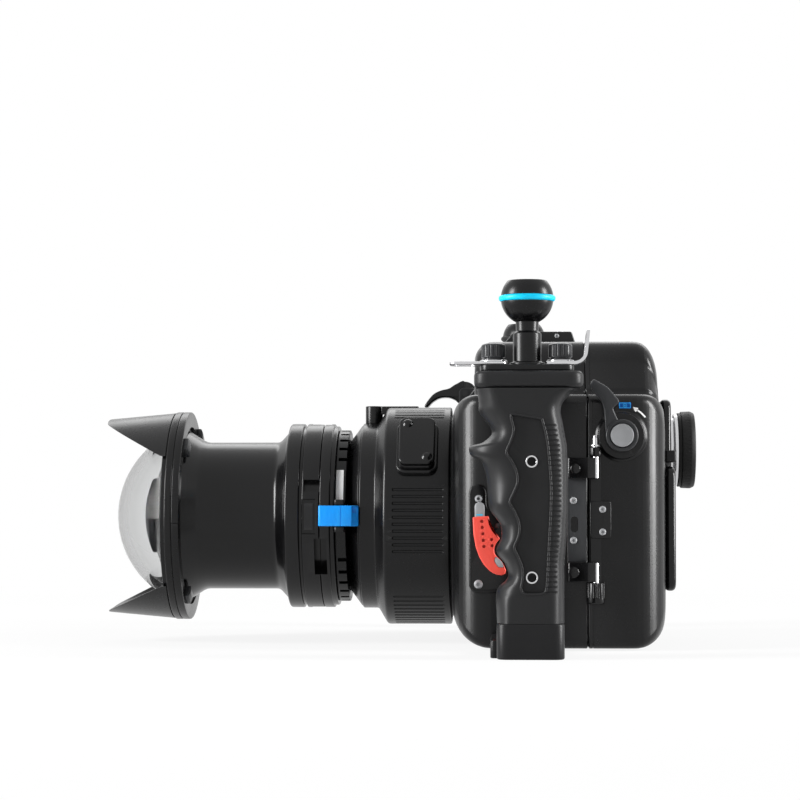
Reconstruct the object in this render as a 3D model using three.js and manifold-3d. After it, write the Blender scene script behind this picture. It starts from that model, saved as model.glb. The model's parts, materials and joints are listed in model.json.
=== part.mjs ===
// Underwater camera housing with a flat port, a wide wet lens and two side handles.
// Millimetres. The lens looks along -X, +Z is up, +Y is the camera operator's right hand.
// The origin is at the middle of the housing's foot, on the surface that it stands on.
import * as THREE from 'three';
import { mergeVertices } from 'three/addons/utils/BufferGeometryUtils.js';
import Module from 'manifold-3d';

const wasm = await Module();
wasm.setup();

// Driving dimensions

// One overrun serves every cut, one clearance every running fit, one seat every resting face
const overrun = 4;
const running = 0.3;
const seat = 0.05;
const weld = 0.0005;

// Faces in a quarter turn of a rounded corner, and round the large and small turned pieces
const cornerSteps = 4;
const wideTurn = 32;
const middleTurn = 22;
const smallTurn = 16;
const tinyTurn = 10;
const domeSteps = 7;
const ballSteps = 6;
const filletSteps = 3;
const lensSteps = 5;
const curveSteps = 3;
const tubeSides = 5;

// Housing body: two shells that part at the seam
const body = {
  front: -54,
  seamFront: 14.4,
  seamGap: 0.4,
  rear: 54.7,
  halfWidth: 88,
  bottom: 1,
  top: 129.2,
  wall: 6,
  planFrontRadius: 20,
  planRearRadius: 20,
  footFrontRadius: 20,
  footRearRadius: 16,
  topFrontRadius: 12,
  topRearRadius: 11,
  shoulderRadius: 4,
  keelRadius: 3,
  get seamRear() { return this.seamFront + this.seamGap; },
  get innerHalfWidth() { return this.halfWidth - this.wall; },
  get floor() { return this.bottom + this.wall; },
};

// Hump over the viewfinder and flash
const hump = {
  setBack: 10.8,
  rearSetBack: 1.8,
  height: 30.3,
  rootDepth: 29.2,
  sideStep: 38,
  lean: 9,
  frontRadius: 10,
  rearRadius: 13,
  sideRadius: 12,
  get front() { return body.front + this.setBack; },
  get rear() { return body.rear - this.rearSetBack; },
  get top() { return body.top + this.height; },
  get root() { return body.top - this.rootDepth; },
  get footHalfWidth() { return body.halfWidth - this.sideStep; },
  get crownHalfWidth() { return this.footHalfWidth - this.lean; },
};

// Seal ring in the rear shell's face, all round the seam
const seal = { inset: 2, width: 2, depth: 1.7, proud: 0.25 };

// Foot plate let into the bottom, and the camera's tray and the electronics inside
const foot = {
  setBack: 21,
  seamInset: 2.4,
  halfWidth: 38,
  height: 4,
  radius: 6,
  get front() { return body.front + this.setBack; },
  get rear() { return body.seamFront - this.seamInset; },
};
const tray = {
  setBack: 22,
  seamInset: 6.4,
  sideGap: 30,
  height: 3,
  radius: 5,
  railWidth: 4,
  railHeight: 7,
  screwRadius: 7,
  screwHeight: 5,
  get front() { return body.front + this.setBack; },
  get rear() { return body.seamFront - this.seamInset; },
  get halfWidth() { return body.innerHalfWidth - this.sideGap; },
};
const leakSensor = {
  setBack: 26,
  length: 20,
  sideGap: 8,
  width: 18,
  height: 2.4,
  get front() { return body.front + this.setBack; },
  get right() { return body.innerHalfWidth - this.sideGap; },
};
const controlBoard = {
  setBack: 24,
  length: 36,
  rise: 15,
  height: 34,
  thickness: 2.2,
  get front() { return body.front + this.setBack; },
  get foot() { return body.floor + this.rise; },
};

// Plate on top of the hump for a light or a lanyard
const accessory = {
  setBack: 15.4,
  length: 38.4,
  frontSlope: 5.4,
  rearSlope: 2.1,
  height: 6.5,
  halfWidth: 15,
  get footFront() { return hump.front + this.setBack; },
  get footRear() { return this.footFront + this.length; },
  get crownFront() { return this.footFront + this.frontSlope; },
  get crownRear() { return this.footRear - this.rearSlope; },
};

// Lens axis, shared by the port and the wet lens
const axisHeight = 67.6;

// Flat port: lengths along the axis from the body forwards, radii stepped inwards from the barrel
const port = {
  barrelRadius: 58.3,
  rim: 4,
  wall: 4.7,
  lipStep: 8.6,
  noseStep: 1.2,
  noseTaper: 9.5,
  noseWall: 6,
  glassOverlap: 3,
  bodyGap: 1.8,
  ringGap: 0.6,
  spigotDepth: 5,
  barrelLength: 34.2,
  shoulderLength: 5.1,
  lipLength: 8.4,
  stepLength: 0.6,
  noseLength: 7,
  glassInset: 1.8,
  glassThickness: 4,
  glassShelf: 2.3,
  sealSetBack: 3,
  sealRadius: 0.95,
  sealClearance: 0.15,
  sealDepth: 2,
  sealHalfGroove: 1.2,
  get rear() { return body.front - this.bodyGap; },
  get ringRecess() { return body.front - portRing.proud - this.ringGap; },
  get spigotBack() { return body.front + this.spigotDepth; },
  get barrelFront() { return this.rear - this.barrelLength; },
  get lipRear() { return this.barrelFront - this.shoulderLength; },
  get lipFront() { return this.lipRear - this.lipLength; },
  get noseRear() { return this.lipFront - this.stepLength; },
  get noseFront() { return this.noseRear - this.noseLength; },
  get glassFront() { return this.noseFront + this.glassInset; },
  get glassRear() { return this.glassFront + this.glassThickness; },
  get boreFront() { return this.glassRear + this.glassShelf; },
  get sealCentre() { return this.spigotBack - this.sealSetBack; },
  get spigotRadius() { return portRing.bore - running; },
  get bore() { return this.spigotRadius - this.wall; },
  get lipRadius() { return this.barrelRadius - this.lipStep; },
  get noseRadius() { return this.lipRadius - this.noseStep; },
  get noseTipRadius() { return this.noseRadius - this.noseTaper; },
  get mouth() { return this.noseTipRadius - this.noseWall; },
  get glassRadius() { return this.mouth + this.glassOverlap; },
  get sealGroove() { return this.spigotRadius - this.sealDepth; },
  get sealRing() { return this.sealGroove + this.sealRadius + this.sealClearance; },
};

// Mount ring for the port in the front wall
const portRing = {
  proud: 3.4,
  width: 7,
  get hole() { return port.barrelRadius - port.rim; },
  get outer() { return this.hole - running; },
  get bore() { return this.outer - this.width; },
};

// Finger grooves along the barrel
const groove = {
  frontInset: 4.2,
  rearInset: 3.4,
  depth: 1.3,
  width: 2.2,
  lift: 2,
  pitchDegrees: 3.55,
  perGroup: 10,
  groups: 6,
  startDegrees: -13.5,
  get front() { return port.barrelFront + this.frontInset; },
  get rear() { return port.rear - this.rearInset; },
};

// Blank cover over the focus knob's seat, set on the barrel
const cover = {
  frontInset: 7.7,
  rearInset: 7.8,
  span: 30.4,
  rise: 6.9,
  thickness: 3.2,
  bossInset: 1.6,
  bossDepth: 8.3,
  radius: 3.4,
  angleDegrees: 37.5,
  get front() { return port.barrelFront + this.frontInset; },
  get rear() { return port.rear - this.rearInset; },
  get height() { return port.barrelRadius + this.rise; },
  get bossFoot() { return port.barrelRadius - this.bossDepth; },
};

// Lock stud on the port's lip and the strip that leads to it
const stud = {
  frontInset: 0.9,
  rearInset: 0.3,
  radius: 4.65,
  edge: 0.8,
  get front() { return port.lipFront + this.frontInset; },
  get rear() { return port.lipRear - this.rearInset; },
};
const strip = {
  proud: 1.4,
  length: 17.1,
  halfWidth: 3.6,
  sink: 3.3,
  rise: 0.7,
  get front() { return port.barrelFront - this.proud; },
  get rear() { return this.front + this.length; },
  get foot() { return port.barrelRadius - this.sink; },
  get top() { return port.barrelRadius + this.rise; },
};

// Bayonet ring on the port's nose, which carries the release lever
const adaptor = {
  reach: 5,
  overlap: 0.6,
  radiusStep: 2.2,
  boreStep: 1,
  noseGap: 1.6,
  lugCheek: 3.225,
  lugDrop: 0.6,
  lugRoot: 2.3,
  pinRadius: 0.9,
  teeth: 30,
  toothDepth: 1.1,
  get front() { return port.noseFront - this.reach; },
  get rear() { return port.noseFront + this.overlap; },
  get step() { return port.noseFront - running; },
  get radius() { return port.noseRadius - this.radiusStep; },
  get bore() { return port.mouth + this.boreStep; },
  get counterbore() { return port.noseTipRadius + this.noseGap; },
  get lugHalfWidth() { return release.width / 2 + this.lugCheek; },
  get lugTop() { return release.outer - this.lugDrop; },
  get lugFoot() { return this.radius - this.lugRoot; },
};

// Lever that frees the wet lens
const release = {
  ahead: 10.9,
  behind: 9.9,
  width: 10.75,
  lift: 1.2,
  thickness: 3.6,
  endRadius: 1.5,
  get pivotX() { return (adaptor.front + adaptor.rear) / 2; },
  get front() { return this.pivotX - this.ahead; },
  get rear() { return this.pivotX + this.behind; },
  get inner() { return bayonet.radius + this.lift; },
  get outer() { return this.inner + this.thickness; },
  get holeRadius() { return adaptor.pinRadius + running; },
};

// Wet lens, from its bayonet to its hood
const bayonet = {
  rearLength: 2.4,
  length: 5.2,
  rearStep: 1.9,
  step: 1.2,
  get rear() { return adaptor.front - running; },
  get stepX() { return this.rear - this.rearLength; },
  get front() { return this.stepX - this.length; },
  get rearRadius() { return adaptor.radius + this.rearStep; },
  get radius() { return this.rearRadius + this.step; },
  get bore() { return adaptor.bore; },
};
const lens = {
  ringLength: 9.1,
  grooveLength: 1.5,
  grooveDepth: 1.8,
  flangeLength: 7.6,
  flangeStep: 0.1,
  filletRadius: 5,
  waistDepth: 10,
  waistLength: 46,
  flareLength: 10.2,
  flareRise: 5.7,
  spigotStep: 2.2,
  spigotLength: 7.3,
  seatWidth: 6.8,
  noseLength: 9,
  noseRadius: 20.9,
  noseWall: 4.9,
  wall: 12.5,
  rearWall: 8.5,
  rearBoreDepth: 3.5,
  get rear() { return bayonet.front - running; },
  get ringFront() { return this.rear - this.ringLength; },
  get flangeRear() { return this.ringFront - this.grooveLength; },
  get flangeFront() { return this.flangeRear - this.flangeLength; },
  get waistFront() { return this.flangeFront - this.waistLength; },
  get flareFront() { return this.waistFront - this.flareLength; },
  get spigotFront() { return this.flareFront - this.spigotLength; },
  get noseFront() { return this.spigotFront - this.noseLength; },
  get rearBoreFront() { return this.flangeFront - this.rearBoreDepth; },
  get ringRadius() { return bayonet.radius; },
  get grooveRadius() { return this.ringRadius - this.grooveDepth; },
  get flangeRadius() { return this.ringRadius + this.flangeStep; },
  get waistRadius() { return this.flangeRadius - this.waistDepth; },
  get flareRadius() { return this.waistRadius + this.flareRise; },
  get spigotRadius() { return this.flareRadius + this.spigotStep; },
  get domeSeat() { return this.spigotRadius - this.seatWidth; },
  get mouth() { return this.noseRadius - this.noseWall; },
  get bore() { return this.waistRadius - this.wall; },
  get rearBore() { return this.waistRadius - this.rearWall; },
};
const rearElement = {
  inset: 2.2,
  thickness: 7.5,
  bulge: 2.4,
  edgeGap: 0.4,
  get rear() { return lens.rear - this.inset; },
  get front() { return this.rear - this.thickness; },
  get radius() { return lens.rearBore - this.edgeGap; },
};
const frontElement = {
  rise: 6.9,
  edge: 0.6,
  get radius() { return lens.noseRadius - this.edge; },
};
const dome = {
  edgeInset: 1.43,
  sink: 18.9,
  glass: 4.4,
  get base() { return lens.spigotFront; },
  get centre() { return this.base + this.sink; },
  get outer() { return Math.hypot(lens.spigotRadius - this.edgeInset, this.sink); },
};

// Hood: a ring on the lens and two petals, above and below the glass
const hood = {
  setBack: 1.2,
  length: 7.8,
  lipLength: 2.4,
  lipStep: 2,
  lipWall: 3,
  boreGap: 0.5,
  width: 8.1,
  petalLength: 34,
  petalInset: 0.4,
  petalThickness: 2.4,
  petalOverlap: 0.6,
  petalShoulder: 0.8,
  petalTaper: 3.4,
  petalTipRadius: 3,
  petalTurnDegrees: 3.8,
  petalBaseShare: 0.6125,
  petalTipShare: 0.9,
  get front() { return lens.spigotFront + this.setBack; },
  get rear() { return this.front + this.length; },
  get lipFront() { return this.front - this.lipLength; },
  get bore() { return lens.spigotRadius + this.boreGap; },
  get radius() { return this.bore + this.width; },
  get lipRadius() { return this.radius - this.lipStep; },
  get lipBore() { return this.bore + this.lipWall; },
  get petalTip() { return this.lipFront - this.petalLength; },
  get petalRoot() { return this.front - this.petalOverlap; },
  get petalBase() { return this.lipFront - this.petalShoulder; },
  get petalOuter() { return this.radius - this.petalInset; },
  get petalInner() { return this.petalOuter - this.petalThickness; },
  get petalBaseHeight() { return this.radius * this.petalBaseShare; },
  get petalTipHeight() { return this.radius * this.petalTipShare; },
  get petalTop() { return this.radius + overrun; },
};

// Hinge on the left wall: bracket on the front shell, leaf on the rear shell, one pin
const hinge = {
  seamGap: 4,
  axisOut: 5.6,
  pinRadius: 1.5,
  pinClearance: 0.2,
  barrelRadius: 3,
  knuckleFoot: 23.7,
  lowerKnuckleHeight: 10.6,
  lowerKnuckleRadius: 4.4,
  knuckleGap: 0.4,
  upperKnuckleHeight: 4.8,
  clipHeight: 0.8,
  clipRadius: 2.6,
  pinProud: 4.9,
  lowerHeight: 9.8,
  span: 42.2,
  upperHeight: 10.3,
  plateInset: 0.2,
  plateLength: 10.2,
  plateThickness: 2.5,
  leafRise: 11.3,
  leafHeight: 18.8,
  leafInset: 1.2,
  leafLength: 10.6,
  leafThickness: 2.6,
  railThickness: 1.9,
  cornerRadius: 2,
  get axisX() { return body.seamFront + this.seamGap; },
  get axisOutside() { return body.halfWidth + this.axisOut; },
  get lowerKnuckleTop() { return this.knuckleFoot + this.lowerKnuckleHeight; },
  get lowerFoot() { return this.lowerKnuckleTop + this.knuckleGap; },
  get lowerTop() { return this.lowerFoot + this.lowerHeight; },
  get upperFoot() { return this.lowerTop + this.span; },
  get upperTop() { return this.upperFoot + this.upperHeight; },
  get upperKnuckleFoot() { return this.upperTop + this.knuckleGap; },
  get upperKnuckleTop() { return this.upperKnuckleFoot + this.upperKnuckleHeight; },
  get clipFoot() { return this.upperKnuckleTop + this.knuckleGap; },
  get clipTop() { return this.clipFoot + this.clipHeight; },
  get pinTop() { return this.clipTop + this.pinProud; },
  get boreRadius() { return this.pinRadius + this.pinClearance; },
  get railRear() { return this.axisX + this.barrelRadius; },
  get plateRear() { return body.seamFront - this.plateInset; },
  get plateFront() { return this.plateRear - this.plateLength; },
  get leafFoot() { return this.lowerTop + this.leafRise; },
  get leafTop() { return this.leafFoot + this.leafHeight; },
  get leafFront() { return body.seamFront + this.leafInset; },
  get leafRear() { return this.leafFront + this.leafLength; },
};

// Playback lever and its button on the rear shell's left wall; heights stand out from the wall
const play = {
  setBack: 17.1,
  drop: 21.2,
  bossRadius: 11.6,
  bossHeight: 3,
  hubGap: 0.4,
  hubWall: 2.05,
  floorThickness: 2.8,
  hubDepth: 4.8,
  armGap: 0.6,
  armThickness: 5.4,
  shaftRadius: 2.4,
  shaftPlay: 0.4,
  buttonRadius: 5.75,
  buttonPlay: 0.35,
  buttonTravelGap: 2,
  buttonThickness: 4.2,
  get x() { return body.seamFront + this.setBack; },
  get z() { return body.top - this.drop; },
  get hubFoot() { return this.bossHeight + this.hubGap; },
  get hubFloor() { return this.hubFoot + this.floorThickness; },
  get hubHeight() { return this.hubFloor + this.hubDepth; },
  get armFoot() { return this.hubFoot + this.armGap; },
  get armHeight() { return this.armFoot + this.armThickness; },
  get boreRadius() { return this.buttonRadius + this.buttonPlay; },
  get hubRadius() { return this.boreRadius + this.hubWall; },
  get shaftHole() { return this.shaftRadius + this.shaftPlay; },
  get buttonFoot() { return this.hubFloor + this.buttonTravelGap; },
  get buttonHeight() { return this.buttonFoot + this.buttonThickness; },
};
// Arm outline from the hub to the thumb pad, as shares of its reach forwards and upwards
const playArm = { reach: 15.5, rise: 28.4 };
const playArmShares = [
  [0.4, 0.1], [0.27, 0.45], [0.68, 0.54], [1, 0.88], [0.82, 1], [0.37, 0.845], [0.1, 0.61], [-0.1, 0.42],
  [-0.3, 0.2],
];

// Port lock: base plate and the lever on the front shell's left wall
const lock = {
  setBack: 8.7,
  length: 35.3,
  drop: 38.6,
  rise: 16,
  neckWidth: 9,
  neckFootRise: 4.4,
  shoulderDrop: 17.6,
  baseThickness: 2.6,
  baseRadius: 4.4,
  shoulderRadius: 8,
  padDepth: 5,
  pivotInset: 5.6,
  pivotRise: 3.6,
  pivotRadius: 2.2,
  hubRadius: 4,
  leverGap: 0.4,
  leverThickness: 6.2,
  stubProud: 0.2,
  get baseFront() { return body.front + this.setBack; },
  get baseRear() { return this.baseFront + this.length; },
  get baseFoot() { return axisHeight - this.drop; },
  get baseTop() { return axisHeight + this.rise; },
  get neckRear() { return this.baseFront + this.neckWidth; },
  get neckFoot() { return axisHeight + this.neckFootRise; },
  get shoulder() { return axisHeight - this.shoulderDrop; },
  get pivotX() { return this.baseFront + this.pivotInset; },
  get pivotZ() { return axisHeight + this.pivotRise; },
  get pivotHole() { return this.pivotRadius + running; },
  get leverFoot() { return this.baseThickness + this.leverGap; },
  get leverHeight() { return this.leverFoot + this.leverThickness; },
  get stubHeight() { return this.leverHeight + this.stubProud; },
};
// Lever outline below the pivot, as shares of its width rearwards and its drop
const lockCover = { width: 13.2, drop: 33.3 };
const lockCoverShares = [
  [-0.27, 0.13], [-0.26, 0.21], [-0.21, 0.46], [-0.08, 0.68], [0.11, 0.86], [0.36, 0.98], [0.64, 1],
  [1, 0.955], [0.94, 0.89], [0.56, 0.67], [0.55, 0.57], [0.77, 0.44], [0.55, 0.35], [0.39, 0.23],
  [0.34, 0.11],
];

// Eyepiece on the back, and the display window and its frame round it
const eyepiece = {
  drop: 26.3,
  hole: 16.4,
  wall: 2.4,
  spigotDepth: 4.7,
  neckRadius: 19.3,
  neckLength: 4.9,
  collarLength: 1.3,
  collarStep: 0.5,
  ringLength: 7.7,
  ringStep: 1.4,
  lensInset: 3.5,
  lensSetBack: 1.4,
  lensThickness: 3,
  lensCover: 0.8,
  cupWall: 3.1,
  get z() { return body.top - this.drop; },
  get bore() { return this.hole - this.wall; },
  get spigotFront() { return body.rear - this.spigotDepth; },
  get neckRear() { return screen.frameRear + this.neckLength; },
  get collarRear() { return this.neckRear + this.collarLength; },
  get rear() { return this.collarRear + this.ringLength; },
  get collarRadius() { return this.neckRadius + this.collarStep; },
  get radius() { return this.neckRadius + this.ringStep; },
  get lensRadius() { return this.neckRadius - this.lensInset; },
  get lensFront() { return screen.frameRear + this.lensSetBack; },
  get cupBore() { return this.radius - this.cupWall; },
  get ringBore() { return this.lensRadius - this.lensCover; },
};
const screen = {
  thickness: 5.6,
  frameFoot: 29.2,
  topInset: 0.2,
  shoulderDrop: 9.9,
  sideInset: 22,
  towerLeftWidth: 11.7,
  towerRightWidth: 12.7,
  frameRadius: 6,
  windowInset: 7,
  windowFootInset: 4.8,
  windowGap: 4.5,
  windowRadius: 3,
  paneMargin: 2.6,
  paneThickness: 3.4,
  openingMargin: 1.4,
  get frameRear() { return body.rear + this.thickness; },
  get frameTop() { return body.top - this.topInset; },
  get frameStep() { return eyepiece.z - this.shoulderDrop; },
  get left() { return this.sideInset - body.halfWidth; },
  get right() { return eyepiece.neckRadius + this.towerRightWidth; },
  get towerLeft() { return -eyepiece.neckRadius - this.towerLeftWidth; },
  get windowLeft() { return this.left + this.windowInset; },
  get windowRight() { return this.right - this.windowInset; },
  get windowFoot() { return this.frameFoot + this.windowFootInset; },
  get windowTop() { return eyepiece.z - eyepiece.hole - this.windowGap; },
};

// Push buttons on the rear shell: cap, travel and shaft
const button = {
  radius: 4.4,
  rise: 2,
  capHeight: 3.4,
  shaftRadius: 1.6,
  shaftInner: 7.4,
  chamfer: 0.7,
  get shaftHole() { return this.shaftRadius + running; },
};
// Where each rear control sits, as shares of the strip right of the frame and of the body's height
const buttonShares = {
  menu_button: [0.268, 0.741],
  display_button: [0.5895, 0.694],
  trash_button: [0.5895, 0.273],
  function_button: [0.268, 0.2496],
};
const padShares = [0.4465, 0.4836];
const thumbDialShares = [0.5357, 0.8658];
const pad = { radius: 12.4, bore: 5.4, height: 6.2, okRadius: 4.6, okHeight: 7.6 };
const thumbDial = { radius: 8.6, height: 8.4, teeth: 16, toothDepth: 0.7 };

// Door latch on the right wall, with an arm that lies over the seam, and the vacuum valve
const latch = {
  seamInset: 18.4,
  drop: 3.6,
  radius: 13,
  height: 9,
  armWidth: 12,
  armReach: 36,
  armHeight: 6,
  armRadius: 4,
  shaftRadius: 3,
  get x() { return body.seamFront - this.seamInset; },
  get z() { return axisHeight - this.drop; },
  get shaftHole() { return this.shaftRadius + running; },
};
const valve = {
  setBack: 22,
  drop: 31.2,
  radius: 8.4,
  height: 7.4,
  plugRadius: 4.6,
  get x() { return body.front + this.setBack; },
  get z() { return body.top - this.drop; },
  get plugHole() { return this.plugRadius + running; },
};

// Dials on the shoulder between the hump and the right handle's bracket
const topDial = {
  humpGap: 12.6,
  shaftRadius: 2.2,
  teeth: 18,
  toothDepth: 0.8,
  get y() { return hump.footHalfWidth + this.humpGap; },
  get shaftHole() { return this.shaftRadius + running; },
};
const modeDial = {
  setBack: 32,
  radius: 10.6,
  height: 12.5,
  get x() { return body.front + this.setBack; },
};
const exposureDial = {
  spacing: 24.6,
  radius: 9.6,
  height: 10,
  get x() { return modeDial.x + this.spacing; },
};

// Side handles: places along Y are distances out from the middle, places along X start at the grip's axis
const handle = {
  gap: 57,
  setBack: 37.9,
  halfThickness: 17,
  footTop: 17,
  footAhead: 14.9,
  footBehind: 17.4,
  footRadius: 4.5,
  barAhead: 18,
  barBehind: 10.1,
  barHeight: 8.6,
  barPast: 5,
  flangeThickness: 8,
  flangeAhead: 25.5,
  flangeBehind: 26.7,
  flangeOverlap: 13.5,
  flangeRadius: 6,
  waistAhead: 16.9,
  waistBehind: 20.1,
  waistGap: 24,
  shoulderInset: 18,
  panelDepth: 2,
  exponent: 3.2,
  around: 14,
  get centreOut() { return body.halfWidth + this.gap; },
  get axisX() { return body.front + this.setBack; },
  get footFront() { return this.axisX - this.footAhead; },
  get footRear() { return this.axisX + this.footBehind; },
  get barFront() { return this.axisX - this.barAhead; },
  get barRear() { return this.axisX + this.barBehind; },
  get barReach() { return this.centreOut + this.barPast; },
  get top() { return body.top; },
  get flangeTop() { return this.top + this.flangeThickness; },
  get flangeFront() { return this.axisX - this.flangeAhead; },
  get flangeRear() { return this.axisX + this.flangeBehind; },
  get flangeInner() { return body.halfWidth - this.flangeOverlap; },
  get waistFront() { return this.axisX - this.waistAhead; },
  get waistRear() { return this.axisX + this.waistBehind; },
  get waistOut() { return body.halfWidth + this.waistGap; },
  get shoulderOut() { return this.centreOut - this.shoulderInset; },
};
// Grip outline: share of the height from foot to top, then front and rear shares of its half depth
const gripHalfDepth = 19.5;
const gripShares = [
  [0, 0.76, 0.9], [0.131, 0.77, 0.9], [0.177, 0.55, 0.9], [0.206, 0.48, 0.9], [0.254, 0.57, 0.9],
  [0.304, 0.77, 0.93], [0.362, 0.65, 0.96], [0.411, 0.66, 0.97], [0.437, 0.74, 0.98], [0.483, 0.93, 1],
  [0.541, 0.98, 1], [0.598, 1, 1], [0.645, 1.05, 1], [0.691, 1.15, 0.99], [0.716, 1.4, 0.98],
  [0.754, 1.42, 0.97], [0.768, 1.14, 0.96], [0.804, 0.89, 0.92], [0.836, 0.92, 0.89],
  [0.864, 1.04, 0.86], [0.903, 1.19, 0.82], [0.938, 1.2, 0.86], [0.975, 1.22, 1.04], [1, 1.25, 1.27],
];
// Recess in the handle's outer face, as shares of the same two sizes: along X, then height
const panelShares = [
  [-0.37, 0.885], [0.34, 0.864], [0.48, 0.772], [0.54, 0.633], [0.56, 0.564], [0.52, 0.356], [0.47, 0.194],
  [0.38, 0.131], [-0.18, 0.134], [-0.15, 0.217], [-0.2, 0.275], [-0.35, 0.321], [-0.22, 0.379],
  [-0.3, 0.471], [-0.46, 0.514], [-0.28, 0.598], [-0.31, 0.645], [-0.54, 0.725], [-0.4, 0.772],
];

// Ball, stem and lanyard plates on top of each handle
const ball = {
  ahead: 22.5,
  behind: 22.3,
  plateThickness: 3.3,
  plateHalfWidth: 12,
  plateRadius: 5,
  stemRadius: 6.85,
  stemHeight: 16.5,
  neckRadius: 5.4,
  lift: 32.3,
  radius: 12.7,
  flatHeight: 8.6,
  ringTube: 1.5,
  ringSink: 0.45,
  get plateFront() { return handle.axisX - this.ahead; },
  get plateRear() { return handle.axisX + this.behind; },
  get plateTop() { return handle.flangeTop + this.plateThickness; },
  get stemTop() { return this.plateTop + this.stemHeight; },
  get centre() { return this.plateTop + this.lift; },
  get flatTop() { return this.centre + this.flatHeight; },
};
const screws = {
  ahead: 16.2,
  behind: 15.9,
  hole: 2.7,
  get frontX() { return handle.axisX - this.ahead; },
  get rearX() { return handle.axisX + this.behind; },
};
const lanyard = {
  thickness: 2.2,
  ahead: 37.4,
  length: 28.1,
  rearGap: 9.4,
  bendBehind: 27.2,
  lean: 2.9,
  rise: 17,
  halfWidth: 9.4,
  radius: 4,
  slotLength: 9,
  slotHalfWidth: 5.4,
  slotWall: 3.4,
  bentSlotRise: 5.9,
  slotRadius: 2,
  get foot() { return ball.plateTop; },
  get front() { return handle.axisX - this.ahead; },
  get frontRear() { return this.front + this.length; },
  get rearFront() { return handle.axisX + this.rearGap; },
  get rearBend() { return handle.axisX + this.bendBehind; },
  get rearRear() { return this.rearBend + this.lean; },
  get bentTop() { return this.foot + this.rise; },
  get bentSlotFoot() { return this.foot + this.bentSlotRise; },
};

// Shutter lever in front of the right handle's bracket
const shutter = {
  setBack: 3.4,
  lift: 0.8,
  gap: 12,
  halfWidth: 5.4,
  hubRadius: 6.8,
  pinRadius: 2,
  cheek: 2.6,
  cheekGap: 0.4,
  cheekAhead: 3.4,
  cheekRise: 3,
  supportDrop: 7.4,
  supportBehind: 7.4,
  reach: 23.4,
  get x() { return body.front + this.setBack; },
  get z() { return handle.flangeTop + this.lift; },
  get out() { return body.halfWidth + this.gap; },
  get pinHole() { return this.pinRadius + running; },
  get cheekFront() { return this.x - this.cheekAhead; },
  get cheekTop() { return this.z + this.cheekRise; },
  get supportFoot() { return this.z - this.supportDrop; },
  get supportFront() { return this.x + this.supportBehind; },
};
// Lever outline round its hub, as shares of its reach forwards and of the hub's radius upwards
const shutterShares = [
  [0, 0.96], [0.22, 0.8], [0.4, 0.42], [0.6, 0.25], [0.8, -0.12], [1, -1.03], [0.93, -1.2], [0.8, -0.76],
  [0.62, -0.42], [0.4, -0.38], [0.22, -0.62], [0, -0.96],
];
// Places of a tooth's edges along its pitch, as shares: top from and to, foot from and to
const toothShares = [0.1, 0.6, 0.7, 1];

// Colours and surfaces
const anodised = { color: 0x17181a, roughness: 0.5, metalness: 0.6 };
const anodisedLight = { color: 0x2b2c2f, roughness: 0.45, metalness: 0.6 };
const mouldedBlack = { color: 0x1b1b1c, roughness: 0.6, metalness: 0 };
const gripGrey = { color: 0x3a3b3d, roughness: 0.62, metalness: 0 };
const steel = { color: 0xc9cbce, roughness: 0.25, metalness: 1 };
const clearGlass = { color: 0xe8f0f2, roughness: 0.03, metalness: 0 };
const coatedGlass = { color: 0x4a5560, roughness: 0.05, metalness: 0 };
const blue = { color: 0x0fa5fa, roughness: 0.4, metalness: 0.2 };
const red = { color: 0xff5f50, roughness: 0.4, metalness: 0.1 };
const cyanRubber = { color: 0x00d0f0, roughness: 0.55, metalness: 0 };
const blackRubber = { color: 0x101011, roughness: 0.75, metalness: 0 };
const buttonGrey = { color: 0x8c8f93, roughness: 0.5, metalness: 0 };
const boardGreen = { color: 0x2c6b45, roughness: 0.6, metalness: 0 };

// Solids from closed geometry

function toSolid(geometry) {
  const bare = geometry.clone();
  bare.deleteAttribute('normal');
  bare.deleteAttribute('uv');
  const merged = mergeVertices(bare, weld);
  const index = merged.index.array;
  const triVerts = [];
  for (let i = 0; i < index.length; i += 3) {
    const [a, b, c] = [index[i], index[i + 1], index[i + 2]];
    if (a !== b && b !== c && c !== a) triVerts.push(a, b, c);
  }
  const vertProperties = new Float32Array(merged.attributes.position.array);
  const solid = new wasm.Manifold(
    new wasm.Mesh({ numProp: 3, vertProperties, triVerts: new Uint32Array(triVerts) }),
  );
  if (solid.volume() > 0) return solid;
  const flipped = triVerts.map((_, i) => triVerts[i % 3 === 0 ? i : i % 3 === 1 ? i + 1 : i - 1]);
  return new wasm.Manifold(
    new wasm.Mesh({ numProp: 3, vertProperties, triVerts: new Uint32Array(flipped) }),
  );
}

function joined(first, ...others) {
  return others.reduce((sum, solid) => sum.add(solid), first);
}

function cut(first, ...others) {
  return others.reduce((rest, solid) => rest.subtract(solid), first);
}

function toGeometry(solid) {
  const { vertProperties, triVerts, numProp } = solid.getMesh();
  const positions = new Float32Array((vertProperties.length / numProp) * 3);
  for (let i = 0; i < positions.length / 3; i += 1) {
    for (let k = 0; k < 3; k += 1) positions[i * 3 + k] = vertProperties[i * numProp + k];
  }
  const geometry = new THREE.BufferGeometry();
  geometry.setAttribute('position', new THREE.BufferAttribute(positions, 3));
  geometry.setIndex(new THREE.BufferAttribute(new Uint32Array(triVerts), 1));
  return geometry;
}

function piece(group, name, solid, finish) {
  const mesh = new THREE.Mesh(toGeometry(solid), new THREE.MeshStandardMaterial(finish));
  mesh.name = name;
  group.add(mesh);
  return mesh;
}

// Outlines

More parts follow.
